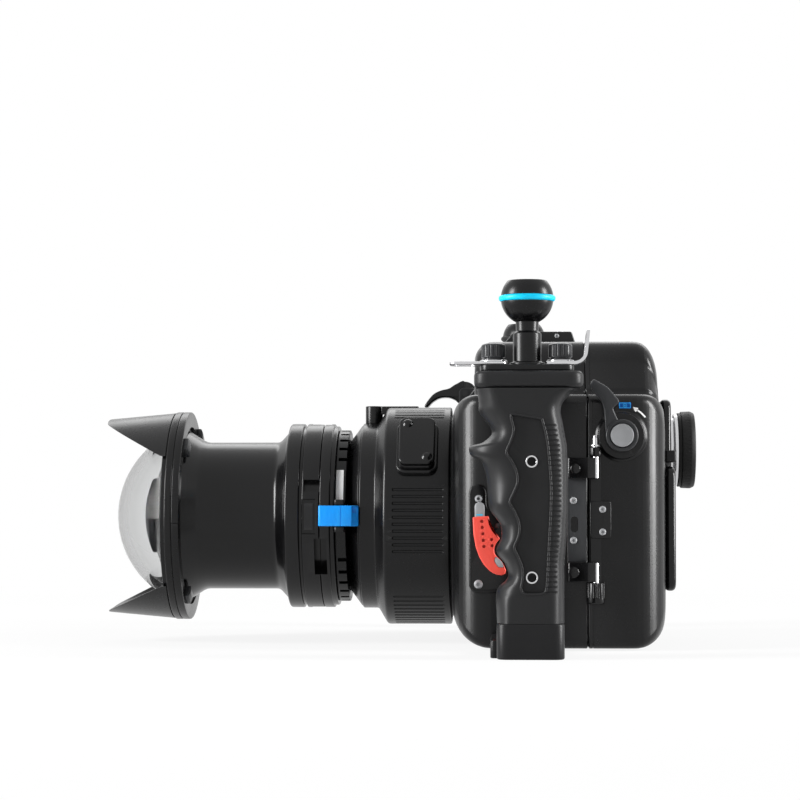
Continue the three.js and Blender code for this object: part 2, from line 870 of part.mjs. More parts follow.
// Closed outline through corners given as [x, y, radius]; each radius becomes an arc
function outline(corners) {
  const points = [];
  corners.forEach(([x, y, radius = 0], i) => {
    const here = new THREE.Vector2(x, y);
    if (radius === 0) {
      points.push(here);
      return;
    }
    const [beforeX, beforeY] = corners[(i + corners.length - 1) % corners.length];
    const [afterX, afterY] = corners[(i + 1) % corners.length];
    const toBefore = new THREE.Vector2(beforeX, beforeY).sub(here).normalize();
    const toAfter = new THREE.Vector2(afterX, afterY).sub(here).normalize();
    const half = Math.acos(THREE.MathUtils.clamp(toBefore.dot(toAfter), -1, 1)) / 2;
    const reach = radius / Math.tan(half);
    const inwards = toBefore.clone().add(toAfter).normalize();
    const centre = inwards.multiplyScalar(radius / Math.sin(half)).add(here);
    const from = toBefore.clone().multiplyScalar(reach).add(here).sub(centre);
    const to = toAfter.clone().multiplyScalar(reach).add(here).sub(centre);
    const turn = Math.atan2(from.cross(to), from.dot(to));
    const steps = Math.max(2, Math.round((Math.abs(turn) / (Math.PI / 2)) * cornerSteps));
    for (let k = 0; k <= steps; k += 1) {
      points.push(from.clone().rotateAround(new THREE.Vector2(0, 0), (turn * k) / steps).add(centre));
    }
  });
  return new THREE.Shape(points);
}

function rectangle(x0, y0, x1, y1, radius = 0) {
  return outline([[x0, y0, radius], [x1, y0, radius], [x1, y1, radius], [x0, y1, radius]]);
}

// Smooth closed curve through points, for hand-shaped levers
function smooth(points) {
  const corners = points.map(([x, y]) => new THREE.Vector3(x, y, 0));
  const curve = new THREE.CatmullRomCurve3(corners, true, 'centripetal');
  const line = curve.getPoints(points.length * curveSteps).slice(0, -1);
  return new THREE.Shape(line.map((p) => new THREE.Vector2(p.x, p.y)));
}

// Prisms: an outline drawn in (Y, Z), (X, Z) or (X, Y), pushed along the third axis

function prism(shape, from, to, basis) {
  const geometry = new THREE.ExtrudeGeometry(shape, { depth: to - from, bevelEnabled: false });
  geometry.translate(0, 0, from);
  if (basis) geometry.applyMatrix4(basis);
  return toSolid(geometry);
}

const axisX = new THREE.Vector3(1, 0, 0);
const axisY = new THREE.Vector3(0, 1, 0);
const axisZ = new THREE.Vector3(0, 0, 1);
const alongX = new THREE.Matrix4().makeBasis(axisY, axisZ, axisX);
const alongMinusY = new THREE.Matrix4().makeBasis(axisX, axisZ, axisY.clone().negate());

function prismX(shape, from, to) {
  return prism(shape, from, to, alongX);
}

function prismY(shape, from, to) {
  return prism(shape, -to, -from, alongMinusY);
}

function prismZ(shape, from, to) {
  return prism(shape, from, to);
}

function boxOf(x0, x1, y0, y1, z0, z1) {
  return prismZ(rectangle(x0, y0, x1, y1), z0, z1);
}

// Turned solids: a profile of [place along the axis, radius], closed on itself or on the axis

function turned(profile, turns) {
  const closed = profile[0][1] === 0 ? profile : [...profile, profile[0]];
  return new THREE.LatheGeometry(closed.map(([along, radius]) => new THREE.Vector2(radius, along)), turns);
}

function turnedX(profile, turns, up = 0, out = 0) {
  return toSolid(turned(profile, turns).rotateZ(-Math.PI / 2).translate(0, out, up));
}

function turnedY(profile, turns, x, z) {
  return toSolid(turned(profile, turns).translate(x, 0, z));
}

function turnedZ(profile, turns, x, y) {
  return toSolid(turned(profile, turns).rotateX(Math.PI / 2).translate(x, y, 0));
}

// Solid cylinder with a small edge break at its far end, as a profile
function capProfile(from, to, radius, edge = 0) {
  const away = Math.sign(to - from);
  if (edge === 0) return [[from, 0], [from, radius], [to, radius], [to, 0]];
  return [[from, 0], [from, radius], [to - away * edge, radius], [to, radius - edge], [to, 0]];
}

// Points of an arc of a profile, from one angle to another in degrees
function arcPoints(along, out, radius, fromDegrees, toDegrees, steps) {
  const points = [];
  for (let k = 0; k <= steps; k += 1) {
    const angle = THREE.MathUtils.degToRad(fromDegrees + ((toDegrees - fromDegrees) * k) / steps);
    points.push([along + radius * Math.cos(angle), out + radius * Math.sin(angle)]);
  }
  return points;
}

// Round section of a seal, as a closed profile
function tubeSection(along, out, radius) {
  return arcPoints(along, out, radius, 0, 360, tubeSides).slice(0, -1);
}

// Ring outline with evenly spaced notches, for toothed edges
function toothed(radius, depth, teeth) {
  const points = [];
  for (let k = 0; k < teeth; k += 1) {
    toothShares.forEach((share, i) => {
      const angle = ((k + share) / teeth) * Math.PI * 2;
      const reach = i < 2 ? radius : radius - depth;
      points.push(new THREE.Vector2(reach * Math.cos(angle), reach * Math.sin(angle)));
    });
  }
  return new THREE.Shape(points);
}

// Solid skinned over rings that all have the same number of points, with flat ends
function skinned(rings) {
  const positions = [];
  const index = [];
  const count = rings[0].length;
  rings.forEach((ring) => ring.forEach((p) => positions.push(p.x, p.y, p.z)));
  for (let r = 0; r + 1 < rings.length; r += 1) {
    for (let k = 0; k < count; k += 1) {
      const next = (k + 1) % count;
      const [a, b, c, d] = [r * count + k, r * count + next, (r + 1) * count + next, (r + 1) * count + k];
      index.push(a, b, c, a, c, d);
    }
  }
  const top = (rings.length - 1) * count;
  for (let k = 1; k + 1 < count; k += 1) {
    index.push(0, k + 1, k);
    index.push(top, top + k, top + k + 1);
  }
  const geometry = new THREE.BufferGeometry();
  geometry.setAttribute('position', new THREE.Float32BufferAttribute(positions, 3));
  geometry.setIndex(index);
  return toSolid(geometry);
}

const part = new THREE.Group();
const onAxis = new THREE.Group();
onAxis.position.z = axisHeight;
part.add(onAxis);

// Shells

// Body and hump, drawn in by an inset on every side
function shellForm(inset) {
  const soft = (radius) => Math.max(radius - inset, radius / 2);
  const [x0, x1] = [body.front + inset, body.rear - inset];
  const [z0, z1] = [body.bottom + inset, body.top - inset];
  const y1 = body.halfWidth - inset;
  const side = outline([
    [x0, z0, soft(body.footFrontRadius)],
    [x1, z0, soft(body.footRearRadius)],
    [x1, z1, soft(body.topRearRadius)],
    [x0, z1, soft(body.topFrontRadius)],
  ]);
  const face = outline([
    [-y1, z0, body.keelRadius],
    [y1, z0, body.keelRadius],
    [y1, z1, body.shoulderRadius],
    [-y1, z1, body.shoulderRadius],
  ]);
  const plan = outline([
    [x0, -y1, soft(body.planFrontRadius)],
    [x1, -y1, soft(body.planRearRadius)],
    [x1, y1, soft(body.planRearRadius)],
    [x0, y1, soft(body.planFrontRadius)],
  ]);
  const block = prismY(side, -y1, y1).intersect(prismX(face, x0, x1)).intersect(prismZ(plan, z0, z1));
  const [h0, h1, top] = [hump.front + inset, hump.rear - inset, hump.top - inset];
  const [wide, narrow] = [hump.footHalfWidth - inset, hump.crownHalfWidth - inset];
  const humpSide = outline([
    [h0, hump.root],
    [h1, hump.root],
    [h1, top, soft(hump.rearRadius)],
    [h0, top, soft(hump.frontRadius)],
  ]);
  const humpFace = outline([
    [-wide, hump.root],
    [wide, hump.root],
    [narrow, top, soft(hump.sideRadius)],
    [-narrow, top, soft(hump.sideRadius)],
  ]);
  return block.add(prismY(humpSide, -wide, wide).intersect(prismX(humpFace, h0, h1)));
}

// Everything between two places along X
function slab(from, to) {
  const wide = body.halfWidth + overrun;
  return boxOf(from, to, -wide, wide, body.bottom - overrun, hump.top + overrun);
}

const shellOuter = shellForm(0);
const cavity = shellForm(body.wall);

function sealLoop(inset, width, from, to) {
  return cut(shellForm(inset), shellForm(inset + width)).intersect(slab(from, to));
}

// Outline of the lock plate: a round neck in front that widens downwards to the rear
function lockOutline() {
  return outline([
    [lock.baseFront, lock.baseFoot, lock.baseRadius],
    [lock.baseRear, lock.baseFoot, lock.baseRadius],
    [lock.baseRear, lock.shoulder, lock.shoulderRadius],
    [lock.neckRear, lock.neckFoot, lock.baseRadius],
    [lock.neckRear, lock.baseTop, lock.baseRadius],
    [lock.baseFront, lock.baseTop, lock.baseRadius],
  ]);
}

function makeFrontShell() {
  const holeEnds = [body.front - overrun, body.front + body.wall + overrun];
  const hole = turnedX(capProfile(...holeEnds, portRing.hole), wideTurn, axisHeight);
  const pocket = prismZ(
    rectangle(
      foot.front - running,
      -foot.halfWidth - running,
      foot.rear + running,
      foot.halfWidth + running,
      foot.radius,
    ),
    body.bottom - overrun,
    foot.height,
  );
  const wallOut = body.halfWidth + overrun;
  const wallIn = body.halfWidth - body.wall - overrun;
  const dialEnds = [body.top - body.wall - overrun, body.top + overrun];
  const dialHole = (dial) =>
    turnedZ(capProfile(...dialEnds, topDial.shaftHole), tinyTurn, dial.x, topDial.y);
  const lockPad = prismY(lockOutline(), leftY(0), leftY(-lock.padDepth));
  const shell = cut(
    shellOuter.intersect(slab(body.front - overrun, body.seamFront)).add(lockPad),
    cavity,
    hole,
    pocket,
    turnedY(capProfile(wallIn, wallOut, latch.shaftHole), tinyTurn, latch.x, latch.z),
    turnedY(capProfile(wallIn, wallOut, valve.plugHole), smallTurn, valve.x, valve.z),
    dialHole(modeDial),
    dialHole(exposureDial),
  );
  piece(part, 'front_shell', shell, anodised);
}

const windowOpening = rectangle(
  screen.windowLeft,
  screen.windowFoot,
  screen.windowRight,
  screen.windowTop,
  screen.windowRadius,
);

// Window outline grown by a margin on every side
function windowGrown(margin) {
  return rectangle(
    screen.windowLeft - margin,
    screen.windowFoot - margin,
    screen.windowRight + margin,
    screen.windowTop + margin,
    screen.windowRadius,
  );
}

// Place of a rear control from its shares of the strip right of the frame and of the body's height
function rearPlace([across, up]) {
  return {
    y: THREE.MathUtils.lerp(screen.right, body.halfWidth, across),
    z: THREE.MathUtils.lerp(body.bottom, body.top, up),
  };
}

// Hole along X through the rear shell's back wall and the window's frame
function rearHole(y, z, radius, turns) {
  const ends = [body.rear - body.wall - overrun, screen.frameRear + overrun];
  return turnedX(capProfile(...ends, radius), turns, z, y);
}

function makeRearShell() {
  const boss = turnedY(
    capProfile(-body.halfWidth + overrun, -body.halfWidth - play.bossHeight, play.bossRadius),
    middleTurn,
    play.x,
    play.z,
  );
  const groove = sealLoop(seal.inset, seal.width, body.seamRear - overrun, body.seamRear + seal.depth);
  const shaftShares = [...Object.values(buttonShares), padShares, thumbDialShares];
  const shell = cut(
    cut(shellOuter.intersect(slab(body.seamRear, body.rear + overrun)), cavity).add(cut(boss, cavity)),
    groove,
    prismX(windowGrown(-screen.openingMargin), body.rear - body.wall - overrun, body.rear + overrun),
    prismX(
      windowGrown(screen.paneMargin + running),
      body.rear - screen.paneThickness - running,
      body.rear + overrun,
    ),
    rearHole(0, eyepiece.z, eyepiece.hole, middleTurn),
    ...shaftShares.map(rearPlace).map(({ y, z }) => rearHole(y, z, button.shaftHole, tinyTurn)),
    turnedY(
      capProfile(
        -body.halfWidth + body.wall + overrun,
        -body.halfWidth - play.bossHeight - overrun,
        play.shaftHole,
      ),
      tinyTurn,
      play.x,
      play.z,
    ),
  );
  piece(part, 'rear_shell', shell, anodised);
  const sealFrom = body.seamRear - seal.proud;
  const sealTo = body.seamRear + seal.depth - seat;
  const ring = sealLoop(seal.inset + seat, seal.width - 2 * seat, sealFrom, sealTo);
  piece(part, 'main_seal', ring, blackRubber);
}

function makeFootAndInside() {
  const plate = rectangle(foot.front, -foot.halfWidth, foot.rear, foot.halfWidth, foot.radius);
  piece(part, 'foot_plate', prismZ(plate, 0, foot.height), mouldedBlack);
  const { floor } = body;
  const top = floor + tray.height;
  const bedPlan = rectangle(tray.front, -tray.halfWidth, tray.rear, tray.halfWidth, tray.radius);
  const bed = prismZ(bedPlan, floor, top);
  const rail = (side) => {
    const railOut = tray.halfWidth - tray.radius;
    const edges = [side * railOut, side * (railOut - tray.railWidth)];
    const [near, far] = [Math.min(...edges), Math.max(...edges)];
    return boxOf(tray.front, tray.rear, near, far, floor, top + tray.railHeight);
  };
  const screwX = (tray.front + tray.rear) / 2;
  const screwProfile = capProfile(floor, top + tray.screwHeight, tray.screwRadius);
  const screwHead = turnedZ(screwProfile, smallTurn, screwX, 0);
  piece(part, 'camera_tray', joined(bed, rail(-1), rail(1), screwHead), anodisedLight);
  const sensor = boxOf(
    leakSensor.front,
    leakSensor.front + leakSensor.length,
    leakSensor.right - leakSensor.width,
    leakSensor.right,
    floor,
    floor + leakSensor.height,
  );
  piece(part, 'leak_sensor', sensor, boardGreen);
  const board = boxOf(
    controlBoard.front,
    controlBoard.front + controlBoard.length,
    body.innerHalfWidth - controlBoard.thickness,
    body.innerHalfWidth,
    controlBoard.foot,
    controlBoard.foot + controlBoard.height,
  );
  piece(part, 'control_board', board, boardGreen);
}

function makeAccessoryPlate() {
  const top = hump.top + accessory.height;
  const side = outline([
    [accessory.footFront, hump.top],
    [accessory.footRear, hump.top],
    [accessory.crownRear, top],
    [accessory.crownFront, top],
  ]);
  piece(part, 'accessory_plate', prismY(side, -accessory.halfWidth, accessory.halfWidth), anodised);
}

// Flat port

function makePort() {
  const ring = turnedX(
    [
      [body.front - portRing.proud, portRing.bore],
      [body.front - portRing.proud, portRing.outer],
      [body.front + body.wall, portRing.outer],
      [body.front + body.wall, portRing.bore],
    ],
    wideTurn,
  );
  piece(onAxis, 'port_ring', ring, anodisedLight);

  const glassSeat = port.glassRadius + running;
  const barrelTurned = turnedX(
    [
      [port.spigotBack, port.bore],
      [port.spigotBack, port.spigotRadius],
      [port.sealCentre + port.sealHalfGroove, port.spigotRadius],
      [port.sealCentre + port.sealHalfGroove, port.sealGroove],
      [port.sealCentre - port.sealHalfGroove, port.sealGroove],
      [port.sealCentre - port.sealHalfGroove, port.spigotRadius],
      [port.ringRecess, port.spigotRadius],
      [port.ringRecess, portRing.hole],
      [port.rear, portRing.hole],
      [port.rear, port.barrelRadius],
      [port.barrelFront, port.barrelRadius],
      [port.lipRear, port.lipRadius],
      [port.lipFront, port.lipRadius],
      [port.noseRear, port.noseRadius],
      [port.noseFront, port.noseTipRadius],
      [port.noseFront, port.mouth],
      [port.glassFront, port.mouth],
      [port.glassFront, glassSeat],
      [port.glassRear, glassSeat],
      [port.boreFront, port.bore],
    ],
    wideTurn,
  );
  const slope = atAngle(cover.angleDegrees);
  const half = cover.span / 2;
  const bossSide = rectangle(
    cover.front - cover.bossInset,
    -half + cover.bossInset,
    cover.rear + cover.bossInset,
    half - cover.bossInset,
    cover.radius,
  );
  const boss = prism(bossSide, cover.bossFoot, cover.height - cover.thickness, slope);
  const { halfWidth } = strip;
  const stripBlock = boxOf(strip.front, strip.rear, -halfWidth, halfWidth, strip.foot, strip.top);
  const barrel = cut(joined(barrelTurned, boss, stripBlock), ...fingerGrooves());
  piece(onAxis, 'port_barrel', barrel, anodised);

  const seal = turnedX(tubeSection(port.sealCentre, port.sealRing, port.sealRadius), wideTurn);
  piece(onAxis, 'port_seal', seal, blackRubber);
  const glass = turnedX(capProfile(port.glassFront, port.glassRear, port.glassRadius), middleTurn);
  piece(onAxis, 'port_glass', glass, clearGlass);

  const lid = rectangle(cover.front, -half, cover.rear, half, cover.radius);
  const lidFrom = cover.height - cover.thickness + seat;
  piece(onAxis, 'focus_cover', prism(lid, lidFrom, cover.height, slope), anodisedLight);
  const pinProfile = capProfile(stud.rear, stud.front, stud.radius, stud.edge);
  const pin = turnedX(pinProfile, smallTurn, port.lipRadius + stud.radius + seat);
  piece(onAxis, 'port_stud', pin, steel);
}

// Turns a shape drawn in (X, sideways) and pushed outwards to stand at an angle above the left side
function atAngle(degrees) {
  return new THREE.Matrix4().makeRotationX(THREE.MathUtils.degToRad(90 - degrees));
}

// Straight grooves in groups round the barrel, skipping those under the cover and the strip
function fingerGrooves() {
  const grooves = [];
  const notch = new THREE.Shape([
    new THREE.Vector2(-groove.width / 2, port.barrelRadius + groove.lift),
    new THREE.Vector2(0, port.barrelRadius - groove.depth),
    new THREE.Vector2(groove.width / 2, port.barrelRadius + groove.lift),
  ]);
  for (let g = 0; g < groove.groups; g += 1) {
    for (let k = 0; k < groove.perGroup; k += 1) {
      const angle = groove.startDegrees + (g * 360) / groove.groups + k * groove.pitchDegrees;
      if (underFitting(angle)) continue;
      const turn = new THREE.Matrix4().makeRotationX(THREE.MathUtils.degToRad(90 + angle));
      grooves.push(prism(notch, groove.front, groove.rear, turn.multiply(alongX)));
    }
  }
  return grooves;
}

function underFitting(angleBelow) {
  const coverHalf = THREE.MathUtils.radToDeg(Math.asin(cover.span / 2 / port.barrelRadius));
  const stripHalf = THREE.MathUtils.radToDeg(Math.asin(strip.halfWidth / port.barrelRadius));
  const away = (degrees) => Math.abs(THREE.MathUtils.euclideanModulo(degrees + 180, 360) - 180);
  return away(angleBelow + cover.angleDegrees) < coverHalf || away(angleBelow + 90) < stripHalf * 2;
}

function makeAdaptor() {
  const bore = turnedX(capProfile(adaptor.front - overrun, adaptor.rear + overrun, adaptor.bore), wideTurn);
  const counterbore = turnedX(
    capProfile(adaptor.step, adaptor.rear + overrun, adaptor.counterbore),
    wideTurn,
  );
  const rim = toothed(adaptor.radius, adaptor.toothDepth, adaptor.teeth);
  const ring = prismX(rim, adaptor.front, adaptor.rear);
  const lug = boxOf(
    adaptor.front,
    adaptor.rear,
    -adaptor.lugTop,
    -adaptor.lugFoot,
    -adaptor.lugHalfWidth,
    adaptor.lugHalfWidth,
  );
  const slotHalf = release.width / 2 + running;
  const slot = boxOf(
    adaptor.front - overrun,
    adaptor.rear + overrun,
    -adaptor.lugTop - overrun,
    -release.inner + running,
    -slotHalf,
    slotHalf,
  );
  const pivotOut = (release.inner + release.outer) / 2;
  const pin = turnedZ(
    capProfile(-adaptor.lugHalfWidth, adaptor.lugHalfWidth, adaptor.pinRadius),
    tinyTurn,
    release.pivotX,
    -pivotOut,
  );
  piece(onAxis, 'adaptor_ring', joined(cut(joined(ring, lug), bore, counterbore, slot), pin), anodisedLight);

  const side = rectangle(release.front, -release.outer, release.rear, -release.inner, release.endRadius);
  const lever = cut(
    prismZ(side, -release.width / 2, release.width / 2),
    turnedZ(
      capProfile(-release.width, release.width, release.holeRadius),
      tinyTurn,
      release.pivotX,
      -pivotOut,
    ),
  );
  piece(onAxis, 'release_lever', lever, blue);
}

// Wet lens

function makeWetLens() {
  const mount = turnedX(
    [
      [bayonet.rear, bayonet.bore],
      [bayonet.rear, bayonet.rearRadius],
      [bayonet.stepX, bayonet.rearRadius],
      [bayonet.stepX, bayonet.radius],
      [bayonet.front, bayonet.radius],
      [bayonet.front, bayonet.bore],
    ],
    wideTurn,
  );
  piece(onAxis, 'lens_bayonet', mount, anodisedLight);

  const filletCentre = lens.flangeFront - lens.filletRadius;
  const filletOut = lens.waistRadius + lens.filletRadius;
  const bodyTurned = turnedX(
    [
      [lens.rear, lens.rearBore],
      [lens.rear, lens.ringRadius],
      [lens.ringFront, lens.ringRadius],
      [lens.ringFront, lens.grooveRadius],
      [lens.flangeRear, lens.grooveRadius],
      [lens.flangeRear, lens.flangeRadius],
      [lens.flangeFront, lens.flangeRadius],
      ...arcPoints(filletCentre, filletOut, lens.filletRadius, 360, 270, filletSteps),
      [lens.waistFront, lens.waistRadius],
      [lens.flareFront, lens.flareRadius],
      [lens.flareFront, lens.spigotRadius],
      [lens.spigotFront, lens.spigotRadius],
      [lens.spigotFront, lens.domeSeat],
      [lens.noseFront, lens.noseRadius],
      [lens.noseFront, lens.mouth],
      [lens.spigotFront, lens.bore],
      [lens.rearBoreFront, lens.bore],
      [lens.rearBoreFront, lens.rearBore],
    ],
    wideTurn,
  );
  piece(onAxis, 'lens_body', bodyTurned, anodised);

  const rearGlass = turnedX(
    [
      [rearElement.front, 0],
      [rearElement.front, rearElement.radius],
      [rearElement.rear - rearElement.bulge, rearElement.radius],
      [rearElement.rear, rearElement.radius / 2],
      [rearElement.rear, 0],
    ],
    middleTurn,
  );
  piece(onAxis, 'rear_element', rearGlass, coatedGlass);

  const { rise, radius } = frontElement;
  const bulge = (radius ** 2 + rise ** 2) / (2 * rise);
  const edge = THREE.MathUtils.radToDeg(Math.asin(radius / bulge));
  const centre = lens.noseFront - rise + bulge;
  const cap = arcPoints(centre, 0, bulge, 180 - edge, 180, lensSteps);
  const front = turnedX([[lens.noseFront, 0], ...cap], middleTurn);
  piece(onAxis, 'front_element', front, coatedGlass);

  const baseAngle = (reach) => THREE.MathUtils.radToDeg(Math.acos((dome.base - dome.centre) / reach));
  const inner = dome.outer - dome.glass;
  const glass = turnedX(
    [
      ...arcPoints(dome.centre, 0, dome.outer, baseAngle(dome.outer), 180, domeSteps),
      ...arcPoints(dome.centre, 0, inner, 180, baseAngle(inner), domeSteps),
    ],
    wideTurn,
  );
  piece(onAxis, 'dome_glass', glass, clearGlass);

  const ring = turnedX(
    [
      [hood.rear, hood.bore],
      [hood.rear, hood.radius],
      [hood.front, hood.radius],
      [hood.front, hood.lipRadius],
      [hood.lipFront, hood.lipRadius],
      [hood.lipFront, hood.lipBore],
      [hood.front, hood.lipBore],
      [hood.front, hood.bore],
    ],
    wideTurn,
  );
  const tube = turnedX(
    [
      [hood.petalTip, hood.petalInner - hood.petalTaper],
      [hood.petalTip, hood.petalOuter - hood.petalTaper],
      [hood.petalRoot, hood.petalOuter],
      [hood.petalRoot, hood.petalInner],
    ],
    wideTurn,
  );
  const petal = (up) => {
    const shape = outline([
      [hood.petalRoot, up * hood.petalBaseHeight],
      [hood.petalBase, up * hood.petalBaseHeight],
      [hood.petalTip, up * hood.petalTipHeight, hood.petalTipRadius],
      [hood.petalTip, up * hood.petalTop],
      [hood.petalRoot, up * hood.petalTop],
    ]);
    const blade = tube.intersect(prismY(shape, -hood.radius, hood.radius));
    return blade.rotate([hood.petalTurnDegrees, 0, 0]);
  };
  piece(onAxis, 'lens_shade', joined(ring, petal(1), petal(-1)), mouldedBlack);
}

// Hinge

function hingeCylinder(from, to, radius, turns = smallTurn) {
  return turnedZ(capProfile(from, to, radius), turns, hinge.axisX, -hinge.axisOutside);
}

function makeHinge() {
  const wall = -body.halfWidth;
  const axisY = -hinge.axisOutside;
  const plate = prismY(
    rectangle(hinge.plateFront, hinge.lowerFoot, hinge.plateRear, hinge.upperTop, hinge.cornerRadius),
    wall - hinge.plateThickness,
    wall,
  );
  const arm = (from, to) => {
    const reach = boxOf(
      hinge.plateFront,
      hinge.axisX,
      axisY - hinge.barrelRadius,
      axisY + hinge.barrelRadius,
      from,
      to,
    );
    const root = boxOf(hinge.plateFront, hinge.plateRear, axisY, wall, from, to);
    return joined(reach, root, hingeCylinder(from, to, hinge.barrelRadius));
  };
  const bore = (from, to) => hingeCylinder(from - overrun, to + overrun, hinge.boreRadius, tinyTurn);
  const stubPin = hingeCylinder(hinge.knuckleFoot, hinge.lowerTop, hinge.pinRadius, tinyTurn);
  const upperArm = cut(arm(hinge.upperFoot, hinge.upperTop), bore(hinge.upperFoot, hinge.upperTop));
  const bracket = joined(plate, arm(hinge.lowerFoot, hinge.lowerTop), upperArm, stubPin);
  piece(part, 'hinge_bracket', bracket, anodised);

  const shank = hingeCylinder(hinge.upperFoot, hinge.pinTop, hinge.pinRadius, tinyTurn);
  const clip = hingeCylinder(hinge.clipFoot, hinge.clipTop, hinge.clipRadius);
  piece(part, 'hinge_pin', joined(shank, clip), steel);

  const leafPlate = boxOf(
    hinge.leafFront,
    hinge.leafRear,
    wall - hinge.leafThickness,
    wall,
    hinge.leafFoot,
    hinge.leafTop,
  );
  const { knuckleFoot, upperKnuckleTop, lowerKnuckleTop, upperKnuckleFoot, railRear } = hinge;
  const railOut = wall - hinge.railThickness;
  const rail = boxOf(hinge.leafFront, railRear, railOut, wall, knuckleFoot, upperKnuckleTop);
  const knuckle = (from, to, radius) =>
    joined(hingeCylinder(from, to, radius), boxOf(hinge.axisX, railRear, axisY, wall, from, to));
  const leaf = joined(
    leafPlate,
    rail,
    knuckle(knuckleFoot, lowerKnuckleTop, hinge.lowerKnuckleRadius),
    knuckle(upperKnuckleFoot, upperKnuckleTop, hinge.barrelRadius),
  );
  piece(part, 'hinge_leaf', cut(leaf, bore(knuckleFoot, upperKnuckleTop)), anodised);
}

// Levers on the left wall

function leftY(height) {
  return -(body.halfWidth + height);
}

function makePlayLever() {
  const arm = smooth(
    playArmShares.map(([forward, up]) => [play.x - forward * playArm.reach, play.z + up * playArm.rise]),
  );
  const hub = turnedY(
    [
      [leftY(play.hubFoot), 0],
      [leftY(play.hubFoot), play.hubRadius],
      [leftY(play.hubHeight), play.hubRadius],
      [leftY(play.hubHeight), play.boreRadius],
      [leftY(play.hubFloor), play.boreRadius],
      [leftY(play.hubFloor), 0],
    ],
    middleTurn,
    play.x,
    play.z,
  );
  const centred = (profile, turns) => turnedY(profile, turns, play.x, play.z);
  const shaft = centred(capProfile(leftY(-body.wall), leftY(play.hubFoot), play.shaftRadius), tinyTurn);
  const boreEnds = [leftY(play.hubFloor), leftY(play.hubHeight + overrun)];
  const bore = centred(capProfile(...boreEnds, play.boreRadius), middleTurn);
  const lever = joined(cut(prismY(arm, leftY(play.armHeight), leftY(play.armFoot)), bore), hub, shaft);
  piece(part, 'play_lever', lever, anodised);
  const capEnds = [leftY(play.buttonFoot), leftY(play.buttonHeight)];
  const cap = capProfile(...capEnds, play.buttonRadius, button.chamfer);
  piece(part, 'play_button', centred(cap, middleTurn), buttonGrey);
}

function makePortLock() {
  const reach = (profile, turns = smallTurn) => turnedY(profile, turns, lock.pivotX, lock.pivotZ);
  const stub = reach(capProfile(leftY(0), leftY(lock.stubHeight), lock.pivotRadius), tinyTurn);
  const plate = prismY(lockOutline(), leftY(lock.baseThickness), leftY(0));
  piece(part, 'lock_plate', joined(plate, stub), anodised);

  const { width, drop } = lockCover;
  const cover = smooth(
    lockCoverShares.map(([back, down]) => [lock.pivotX + back * width, lock.pivotZ - down * drop]),
  );
  const lever = cut(
    joined(
      prismY(cover, leftY(lock.leverHeight), leftY(lock.leverFoot)),
      reach(capProfile(leftY(lock.leverFoot), leftY(lock.leverHeight), lock.hubRadius)),
    ),
    reach(capProfile(leftY(0), leftY(lock.leverHeight + overrun), lock.pivotHole)),
  );
  piece(part, 'port_lock_lever', lever, red);
}

// Rear: display window, eyepiece and controls

function makeRearWindow() {
  const frameSide = outline([
    [screen.left, screen.frameFoot, screen.frameRadius],
    [screen.right, screen.frameFoot, screen.frameRadius],
    [screen.right, screen.frameTop, screen.frameRadius],
    [screen.towerLeft, screen.frameTop, screen.frameRadius],
    [screen.towerLeft, screen.frameStep, screen.frameRadius],
    [screen.left, screen.frameStep, screen.frameRadius],
  ]);
  const frame = cut(
    prismX(frameSide, body.rear, screen.frameRear),
    prismX(windowOpening, body.rear - overrun, screen.frameRear + overrun),
    rearHole(0, eyepiece.z, eyepiece.hole, middleTurn),
  );
  piece(part, 'window_frame', frame, mouldedBlack);
  const pane = prismX(windowGrown(screen.paneMargin), body.rear - screen.paneThickness, body.rear);
  piece(part, 'display_window', pane, clearGlass);
}

function makeEyepiece() {
  const spigot = eyepiece.hole - running;
  const turn = (profile) => turnedX(profile, middleTurn, eyepiece.z);
  const neck = turn([
    [eyepiece.spigotFront, eyepiece.bore],
    [eyepiece.spigotFront, spigot],
    [screen.frameRear, spigot],
    [screen.frameRear, eyepiece.neckRadius],
    [eyepiece.neckRear, eyepiece.neckRadius],
    [eyepiece.neckRear, eyepiece.lensRadius + running],
    [eyepiece.lensFront, eyepiece.lensRadius + running],
    [eyepiece.lensFront, eyepiece.bore],
  ]);
  piece(part, 'eyepiece_neck', neck, steel);
  const lensRear = eyepiece.lensFront + eyepiece.lensThickness;
  const pane = turn(capProfile(eyepiece.lensFront, lensRear, eyepiece.lensRadius));
  piece(part, 'eyepiece_lens', pane, coatedGlass);
  const ring = turn([
    [eyepiece.neckRear, eyepiece.ringBore],
    [eyepiece.neckRear, eyepiece.collarRadius],
    [eyepiece.collarRear, eyepiece.collarRadius],
    [eyepiece.collarRear, eyepiece.radius],
    [eyepiece.rear, eyepiece.radius],
    [eyepiece.rear, eyepiece.cupBore],
  ]);
  piece(part, 'eyepiece_ring', ring, mouldedBlack);
}

// Cap on a shaft that runs through the back wall
function pushButton({ y, z }, radius, height) {
  const foot = body.rear + button.rise;
  const shaftEnd = body.rear - button.shaftInner;
  const profile = [
    [shaftEnd, 0],
    [shaftEnd, button.shaftRadius],
    [foot, button.shaftRadius],
    [foot, radius],
    [foot + height - button.chamfer, radius],
    [foot + height, radius - button.chamfer],
    [foot + height, 0],
  ];
  return turnedX(profile, smallTurn, z, y);
}

